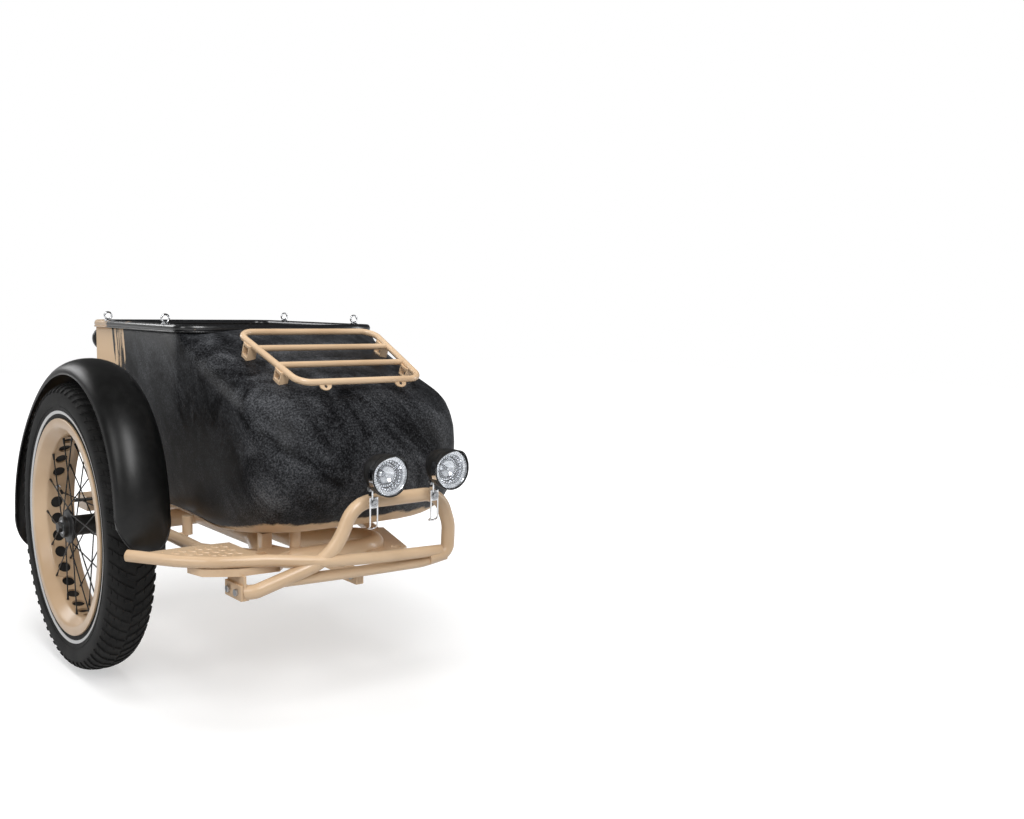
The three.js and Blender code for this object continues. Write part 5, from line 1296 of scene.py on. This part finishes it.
bead_points, bead_faces = [], []
for row in range(-4, 5):
    for column in range(-4, 5):
        a, b = (column + (row % 2) / 2) * 5.4, row * 4.7
        spread = math.hypot(a, b)
        if spread < 21.5:
            rise = 34.4 - 9.0 * (spread / 21.5) ** 2.4
            outward = (a * 0.02 * spread / 21.5, 1, b * 0.02 * spread / 21.5)
            added(
                *bead(np.array([TAIL[0] + a, TAIL[1] + rise - 0.8, TAIL[2] + b]), outward, 2.5),
                bead_points, bead_faces
            )
for radius, rise, forward in ((24.2, 18.4, 0.1), (23.6, 23.4, 0.3)):
    count = round(2 * math.pi * radius / 5.2)
    for k in range(count):
        a = 2 * math.pi * (k + (rise > 20) / 2) / count
        outward = np.array([math.sin(a), forward, math.cos(a)])
        added(
            *bead(np.array(TAIL) + outward * (radius, 0, radius) + (0, rise, 0), outward, 2.3), bead_points,
            bead_faces
        )
piece("tail_beads", bead_points, bead_faces, clear, crease=60)
print("tail beads", len(bead_points) // 48)

# %% [markdown]
# Each headlamp is a black bucket with a small peak over its lens.
# It tilts about a bolt in the ear of a chromed strap.
# The bucket, lens and reflector ride on the lamp's own body, and the strap stays with the sidecar.

# %% Headlamps
LENS_Y, LAMP_Z, LAMP_R, DEPTH = -650, 447, 37, 62
BACK = LENS_Y + DEPTH
bucket = [
    (0.001, BACK), (7, BACK - 0.3), (13.3, BACK - 3.1), (20, BACK - 8), (26, BACK - 13.6), (31, BACK - 22),
    (34.2, BACK - 31), (36.2, BACK - 41), (37, BACK - 49.6), (37, LENS_Y + 8), (36.5, LENS_Y + 7.2),
    (36.5, LENS_Y + 5.6),
    (37, LENS_Y + 5), (37, LENS_Y + 0.6), (36.4, LENS_Y), (34.9, LENS_Y), (34.5, LENS_Y + 0.5),
    (34.5, BACK - 48.4),
    (29.6, BACK - 27.9), (14, BACK - 15.5), (0.001, BACK - 15.5),
]


def bucket_lift(y):
    """How far a ring of the bucket is lifted, so that the bucket's top falls less than its belly rises."""
    outer = bucket[13::-1]
    return 0.55 * (LAMP_R - float(np.interp(y, [p[1] for p in outer], [p[0] for p in outer])))


def arc_strip(name, x, section_points, start, end, material, steps=24, **settings):
    """A closed strip round a lamp's axis: a section of [radius, y], carried between two angles."""
    rings = []
    for a in np.linspace(math.radians(start), math.radians(end), steps):
        rings.append(
            [at(x + radius * math.sin(a), y, LAMP_Z + radius * math.cos(a)) for radius, y in section_points]
        )
    return piece(name, *skin(rings), material, crease=35, **settings)


def strap_loop(x, name):
    """The strap: a loop of bright wire below the boss, a small plate on it, and an ear for the lamp."""
    wire_corners = [
        (x - 7.5, -593.8, 402), (x - 7.5, -593.8, 350), (x - 7.5, -584.8, 344),
        (x + 7.5, -584.8, 344), (x + 7.5, -593.8, 350), (x + 7.5, -593.8, 402),
    ]
    bent_tube(
        "strap_" + name, wire_corners, [6, 5, 5, 6], 1.6, chrome, stands_for=("headlamp_strap_" + name,)
    )
    plate("strap_pad_" + name, (x - 9, -595.1, 382), (x + 9, -592.4, 402), chrome, edge=1.2)
    plate("strap_ear_" + name, (x - 6.5, -598.5, 398), (x - 3.2, -585.5, 424), chrome, edge=1.2)


def lamp(x, name):
    """All the pieces of one headlamp."""
    body, centre = "headlamp_" + name, (x, 0, LAMP_Z)
    rings = []
    for radius, y in bucket:
        lift = bucket_lift(y)
        rings.append([at(x + a, y, LAMP_Z + lift + b) for a, b in circle(radius, 72)])
    piece(
        "bucket_" + name, *skin(rings), moulded, body=body, stands_for=("headlamp_housing_" + name,),
        crease=35
    )
    rings = []
    for i in range(41):
        a = math.radians(-80 + 160 * i / 40)
        reach = 1 + 13 * math.cos(a) ** 3
        ring = []
        for radius, y in (
            (36.9, LENS_Y + 1), (36.9, LENS_Y - reach + 0.8), (36.3, LENS_Y - reach),
            (35.3, LENS_Y - reach + 0.8), (35.1, LENS_Y + 1)
        ):
            ring.append(at(x + radius * math.sin(a), y, LAMP_Z + radius * math.cos(a)))
        rings.append(ring)
    piece("peak_" + name, *skin(rings), moulded, body=body, crease=35)
    knuckle = [(2.7, -2.9), (7.6, -2.9), (7.9, -2.4), (7.9, 2.4), (7.6, 2.9), (2.7, 2.9), (2.7, -2.9)]
    turned("lamp_knuckle_" + name, knuckle, "X", (x, -592, 417), moulded, 40, body=body, crease=35)
    plate("lamp_web_" + name, (x - 2.9, -601, 420.5), (x + 2.9, -589, 446), moulded, edge=0.8, body=body)
    glass = [
        (0.001, LENS_Y + 1.2), (22, LENS_Y + 1.5), (31, LENS_Y + 2.3), (34.2, LENS_Y + 3.4),
        (34.2, LENS_Y + 6.8), (0.001, LENS_Y + 6.8)
    ]
    turned(
        "lens_" + name, glass, "Y", centre, clear, 96, body=body, stands_for=("headlamp_lens_" + name,),
        crease=35
    )
    front = LENS_Y + 7.4
    bowl = [
        (34.1, front), (34.1, front + 2), (29, front + 2.4), (27, front + 8), (22, front + 16.5),
        (14, front + 23.4), (5, front + 26),
        (4.8, front + 23.6), (13, front + 21.2), (20.4, front + 14.8), (24.6, front + 7.4),
        (26.4, front + 0.9), (27.2, front),
    ]
    turned(
        "reflector_" + name, [*bowl, bowl[0]], "Y", centre, bright, 96, body=body,
        stands_for=("headlamp_reflector_" + name,), crease=30
    )
    flute_points, flute_faces = [], []
    for k in range(28):
        a = 2 * math.pi * k / 28
        direction = np.array([math.sin(a), 0, math.cos(a)])
        for radius, depth in ((24.2, 5.5), (19.6, 12.6)):
            centre_of = np.array(centre, float) + direction * radius + np.array([0, front + depth, 0])
            added(
                *bead(centre_of, -direction * 0.8 + np.array([0, -0.6, 0]), 2.3), flute_points, flute_faces
            )
    for k in range(44):
        a = 2 * math.pi * k / 44
        direction = np.array([math.sin(a), 0, math.cos(a)])
        ends = [
            np.array(centre, float) + direction * radius + np.array([0, front + 0.3, 0])
            for radius in (27.6, 33.6)
        ]
        added(*rod_form(*ends, 0.8, 8, 1.2), flute_points, flute_faces)
    piece("facets_" + name, flute_points, flute_faces, bright, body=body, crease=50)
    bulb = [
        (0.001, front + 7.6), (2.6, front + 8.4), (3.7, front + 10.8), (3.7, front + 20), (5.2, front + 21),
        (5.2, front + 24), (0.001, front + 24)
    ]
    turned("bulb_" + name, bulb, "Y", centre, bright, 40, body=body)
    clip = [(36.8, LENS_Y + 1.2), (37.5, LENS_Y + 1.2), (37.5, LENS_Y + 14), (36.8, LENS_Y + 14)]
    for side in (-1, 1):
        label = "clip_%s_%d" % (name, 2 + side)
        arc_strip(label, x, clip, side * 90 - 25, side * 90 + 25, chrome, body=body)
    strap_loop(x, name)
    hexagon_bolt(
        "tilt_screw_" + name, "headlamp_pivot_bolt_" + name, (x - 6.6, -592, 417), (-1, 0, 0), 4.9, 3.4,
        washer=0
    )
    hexagon_bolt("tilt_nut_" + name, None, (x + 3.1, -592, 417), (1, 0, 0), 4.6, 3.3, washer=0)
    hexagon_bolt(
        "strap_screw_" + name, "headlamp_strap_bolt_" + name, (x, -595.2, 392), (0, -1, 0), 5.8, 3.6,
        washer=8.5
    )


lamp(-63.5, "outer")
lamp(67.5, "inner")
print("lamps at", -63.5, 67.5)

# %% [markdown]
# The seat can't be seen in the photograph, so it follows other sidecars:
# a plywood box, and two stuffed pads on it.
# A pad is a cover sewn round foam. Its shape comes from pressure against a cover that can't stretch,
# so each one starts as the model's plain pad and is blown up a little with the cloth solver.

# %% Floor board and seat box
from_model("floor_sheet", "floor_board", plywood, edge=1.2)
from_model("seat_box", "seat_base", plywood, edge=1.5)
print("boards", 2)


# %% Cushions
def cover(name, node, face):
    """A pad blown up from the model's solid, kept inside its box, with sewn channels in its face."""
    low_corner, high_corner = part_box(node)
    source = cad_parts[node].data
    mesh = source.copy()
    pad = bpy.data.objects.new(name, mesh)
    bpy.context.scene.collection.objects.link(pad)
    mesh.materials.clear()
    mesh.materials.append(leather)
    remesh = pad.modifiers.new("remesh", "REMESH")
    remesh.mode, remesh.voxel_size = "VOXEL", 0.005
    smooth = pad.modifiers.new("smooth", "SMOOTH")
    smooth.factor, smooth.iterations = 0.5, 6
    settle(pad)
    rest = np.array([v.co[:] for v in pad.data.vertices])
    cloth = pad.modifiers.new("cloth", "CLOTH")
    cloth.settings.use_pressure = True
    cloth.settings.uniform_pressure_force = 4
    cloth.settings.tension_stiffness = 60
    cloth.settings.bending_stiffness = 6
    cloth.settings.effector_weights.gravity = 0
    cloth.point_cache.frame_end = 20
    for number in range(1, 21):
        bpy.context.scene.frame_set(number)
    settle(pad)
    blown = np.array([v.co[:] for v in pad.data.vertices])
    moved = blown - rest
    length = np.linalg.norm(moved, axis=1, keepdims=True)
    blown = rest + moved * np.minimum(1, 0.004 / np.maximum(length, 1e-9))
    blown = np.clip(blown, np.array(low_corner) + 0.0005, np.array(high_corner) - 0.0005)
    pad.data.vertices.foreach_set("co", blown.ravel())
    bpy.context.scene.frame_set(1)
    finer = pad.modifiers.new("finer", "SUBSURF")
    finer.levels = finer.render_levels = 1
    settle(pad)
    sewn(pad.data, low_corner, high_corner, Vector(face))
    pad.data.shade_smooth()
    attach(pad, "sidecar")
    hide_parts(node)
    return pad


def sewn(mesh, low_corner, high_corner, face):
    """Presses two stitched channels into the side of a pad that faces the rider."""
    middle = (low_corner[0] + high_corner[0]) / 2
    reach = 0.36 * ((high_corner[0] - low_corner[0]) / 2 - 0.009)
    normals = [vertex.normal.copy() for vertex in mesh.vertices]
    for vertex, normal in zip(mesh.vertices, normals):
        facing = max(0, normal.dot(face))
        groove = sum(math.exp(-((vertex.co.x - middle - side * reach) / 0.0045) ** 2) for side in (-1, 1))
        vertex.co -= face * 0.0055 * groove * min(1, facing * 1.5)


def settle(made):
    """Applies every modifier of a piece."""
    settled = bpy.data.meshes.new_from_object(made.evaluated_get(bpy.context.evaluated_depsgraph_get()))
    made.modifiers.clear()
    made.data = settled


def rounded_loop(half_a, half_b, corner, steps=8):
    """A rounded rectangle as points and directions in its own plane."""
    loop = []
    for quarter, (sa, sb) in enumerate(((1, 1), (-1, 1), (-1, -1), (1, -1))):
        for i in range(steps + 1):
            a = (quarter + i / steps) * math.pi / 2
            along_a = sa * (half_a - corner) + corner * math.cos(a)
            loop.append((along_a, sb * (half_b - corner) + corner * math.sin(a)))
    return loop


def piping(name, pad, node, face_axis):
    """A sewn cord round the middle of a pad's sides, found by rays from outside."""
    low_corner, high_corner = [np.array(corner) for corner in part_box(node)]
    middle, half = (low_corner + high_corner) / 2, (high_corner - low_corner) / 2
    across = [axis for axis in range(3) if axis != face_axis]
    tree = BVHTree.FromPolygons(
        [v.co for v in pad.data.vertices], [tuple(p.vertices) for p in pad.data.polygons]
    )
    places = []
    for a, b in rounded_loop(half[across[0]] + 0.03, half[across[1]] + 0.03, 0.06):
        start = middle.copy()
        start[across[0]] += a
        start[across[1]] += b
        hit = tree.ray_cast(Vector(start), Vector(middle - start))[0]
        if hit is not None:
            places.append(np.array(hit) * 1000 + COUPLING_FACE)
    places = [
        (places[i - 1] + 2 * places[i] + places[(i + 1) % len(places)]) / 4 for i in range(len(places))
    ]
    headings = loop_headings(places)
    return piece(name, *swept(places, headings, circle(2.2, 12), closed=True), leather, crease=80)


seat_pad = cover("seat_pad", "seat_cushion", (0, 0, 1))
back_pad = cover("back_pad", "back_cushion", (0, -1, 0))
piping("seat_piping", seat_pad, "seat_cushion", 2)
piping("back_piping", back_pad, "back_cushion", 1)
print("pads", len(seat_pad.data.vertices), len(back_pad.data.vertices))

# %% [markdown]
# The photograph has a pure white ground with soft, even light, as in a product studio.
# The world is white to the camera and through glass. In reflections it is grey, paler at the horizon
# than above, as a paper sweep under a dark ceiling is.
# As a light it is dimmer, so the paint keeps its colour.
# The floor is white too, and only its shadow shows.

# %% Floor
floor_mesh = bpy.data.meshes.new("floor")
floor_mesh.from_pydata(
    [(x, y, height(-0.5)) for x, y in ((-9, -9), (9, -9), (9, 9), (-9, 9))], [], [(0, 1, 2, 3)]
)
floor = bpy.data.objects.new("floor", floor_mesh)
bpy.context.scene.collection.objects.link(floor)
paper = finish_of("floor_paper", (0.58, 0.58, 0.58), 0.9, Specular_IOR_Level=0.0)
floor_mesh.materials.append(paper)
nodes, links = paper.node_tree.nodes, paper.node_tree.links
rays, glow, mixer = nodes.new(
    "ShaderNodeLightPath"
), nodes.new("ShaderNodeEmission"), nodes.new("ShaderNodeAddShader")
dim = sum_of(paper, rays.outputs["Is Glossy Ray"], 0.45, "MULTIPLY")
seen = sum_of(paper, rays.outputs["Is Camera Ray"], dim, "MAXIMUM")
seen = sum_of(paper, seen, rays.outputs["Is Transmission Ray"], "MAXIMUM")
shift = nodes.new("ShaderNodeVectorMath")
shift.operation = "DISTANCE"
shift.inputs[1].default_value = at(-60, -60, -0.5)
links.new(place_of(paper), shift.inputs[0])
far_glow = mapped(paper, shift.outputs["Value"], 0.75, 2.0, 0.5, 1.0)
links.new(sum_of(paper, seen, far_glow, "MULTIPLY"), glow.inputs["Strength"])
links.new(nodes["Principled BSDF"].outputs["BSDF"], mixer.inputs[0])
links.new(glow.outputs["Emission"], mixer.inputs[1])
links.new(mixer.outputs["Shader"], nodes["Material Output"].inputs["Surface"])
print("floor at", round(height(-0.5), 4))

# %% World and lamps
world = bpy.data.worlds.new("studio")
bpy.context.scene.world = world
world.use_nodes = True
nodes, links = world.node_tree.nodes, world.node_tree.links
background = nodes["Background"]
background.inputs["Color"].default_value = (1, 1, 1, 1)
rays = nodes.new("ShaderNodeLightPath")
seen = nodes.new("ShaderNodeMath")
seen.operation = "MAXIMUM"
links.new(rays.outputs["Is Camera Ray"], seen.inputs[0])
links.new(rays.outputs["Is Transmission Ray"], seen.inputs[1])
direction, parts, sweep = nodes.new("ShaderNodeTexCoord"), nodes.new(
    "ShaderNodeSeparateXYZ"
), nodes.new("ShaderNodeMapRange")
links.new(direction.outputs["Generated"], parts.inputs["Vector"])
links.new(parts.outputs["Z"], sweep.inputs["Value"])
for socket, number in (("From Min", 0.03), ("From Max", 0.2), ("To Min", 0.45), ("To Max", 0.08)):
    sweep.inputs[socket].default_value = number
glossy = nodes.new("ShaderNodeMath")
glossy.operation = "MULTIPLY"
links.new(rays.outputs["Is Glossy Ray"], glossy.inputs[0])
links.new(sweep.outputs["Result"], glossy.inputs[1])
strength = nodes.new("ShaderNodeMath")
strength.operation = "MAXIMUM"
links.new(seen.outputs["Value"], strength.inputs[0])
links.new(glossy.outputs["Value"], strength.inputs[1])
diffuse = nodes.new("ShaderNodeMath")
diffuse.operation = "MULTIPLY"
diffuse.inputs[1].default_value = 0.3
links.new(rays.outputs["Is Diffuse Ray"], diffuse.inputs[0])
base = nodes.new("ShaderNodeMath")
base.operation = "MAXIMUM"
links.new(strength.outputs["Value"], base.inputs[0])
links.new(diffuse.outputs["Value"], base.inputs[1])
links.new(base.outputs["Value"], background.inputs["Strength"])


def soft_box(name, place, target, size, power):
    """A square lamp that looks at a target."""
    data = bpy.data.lights.new(name, "AREA")
    data.shape, data.size, data.size_y, data.energy = "RECTANGLE", size[0], size[1], power
    made = bpy.data.objects.new(name, data)
    bpy.context.scene.collection.objects.link(made)
    place, target = Vector(place), Vector(target)
    made.matrix_world = Matrix.Translation(place) @ (
        target - place
    ).to_track_quat("-Z", "Y").to_matrix().to_4x4()
    return made


middle = at(-100, 0, 400)
soft_box("key_light", (-1.15, -2.35, 2.05), at(-250, -200, 380), (0.8, 1.8), 44)
soft_box("left_light", (-2.9, -1.1, 1.5), middle, (1.0, 1.4), 17)
top_light = soft_box("top_light", (-0.5, -0.2, 2.9), middle, (2.0, 1.6), 46)
top_light.visible_glossy = False
soft_box("side_light", (2.2, -1.6, 0.8), middle, (0.5, 1.6), 18)
soft_box("rear_light", (-1.6, 2.6, 1.6), middle, (1.2, 1.2), 20)

# %% [markdown]
# Last, the view transform is set to plain.

# %% Finish
bpy.context.scene.view_settings.view_transform = "Standard"
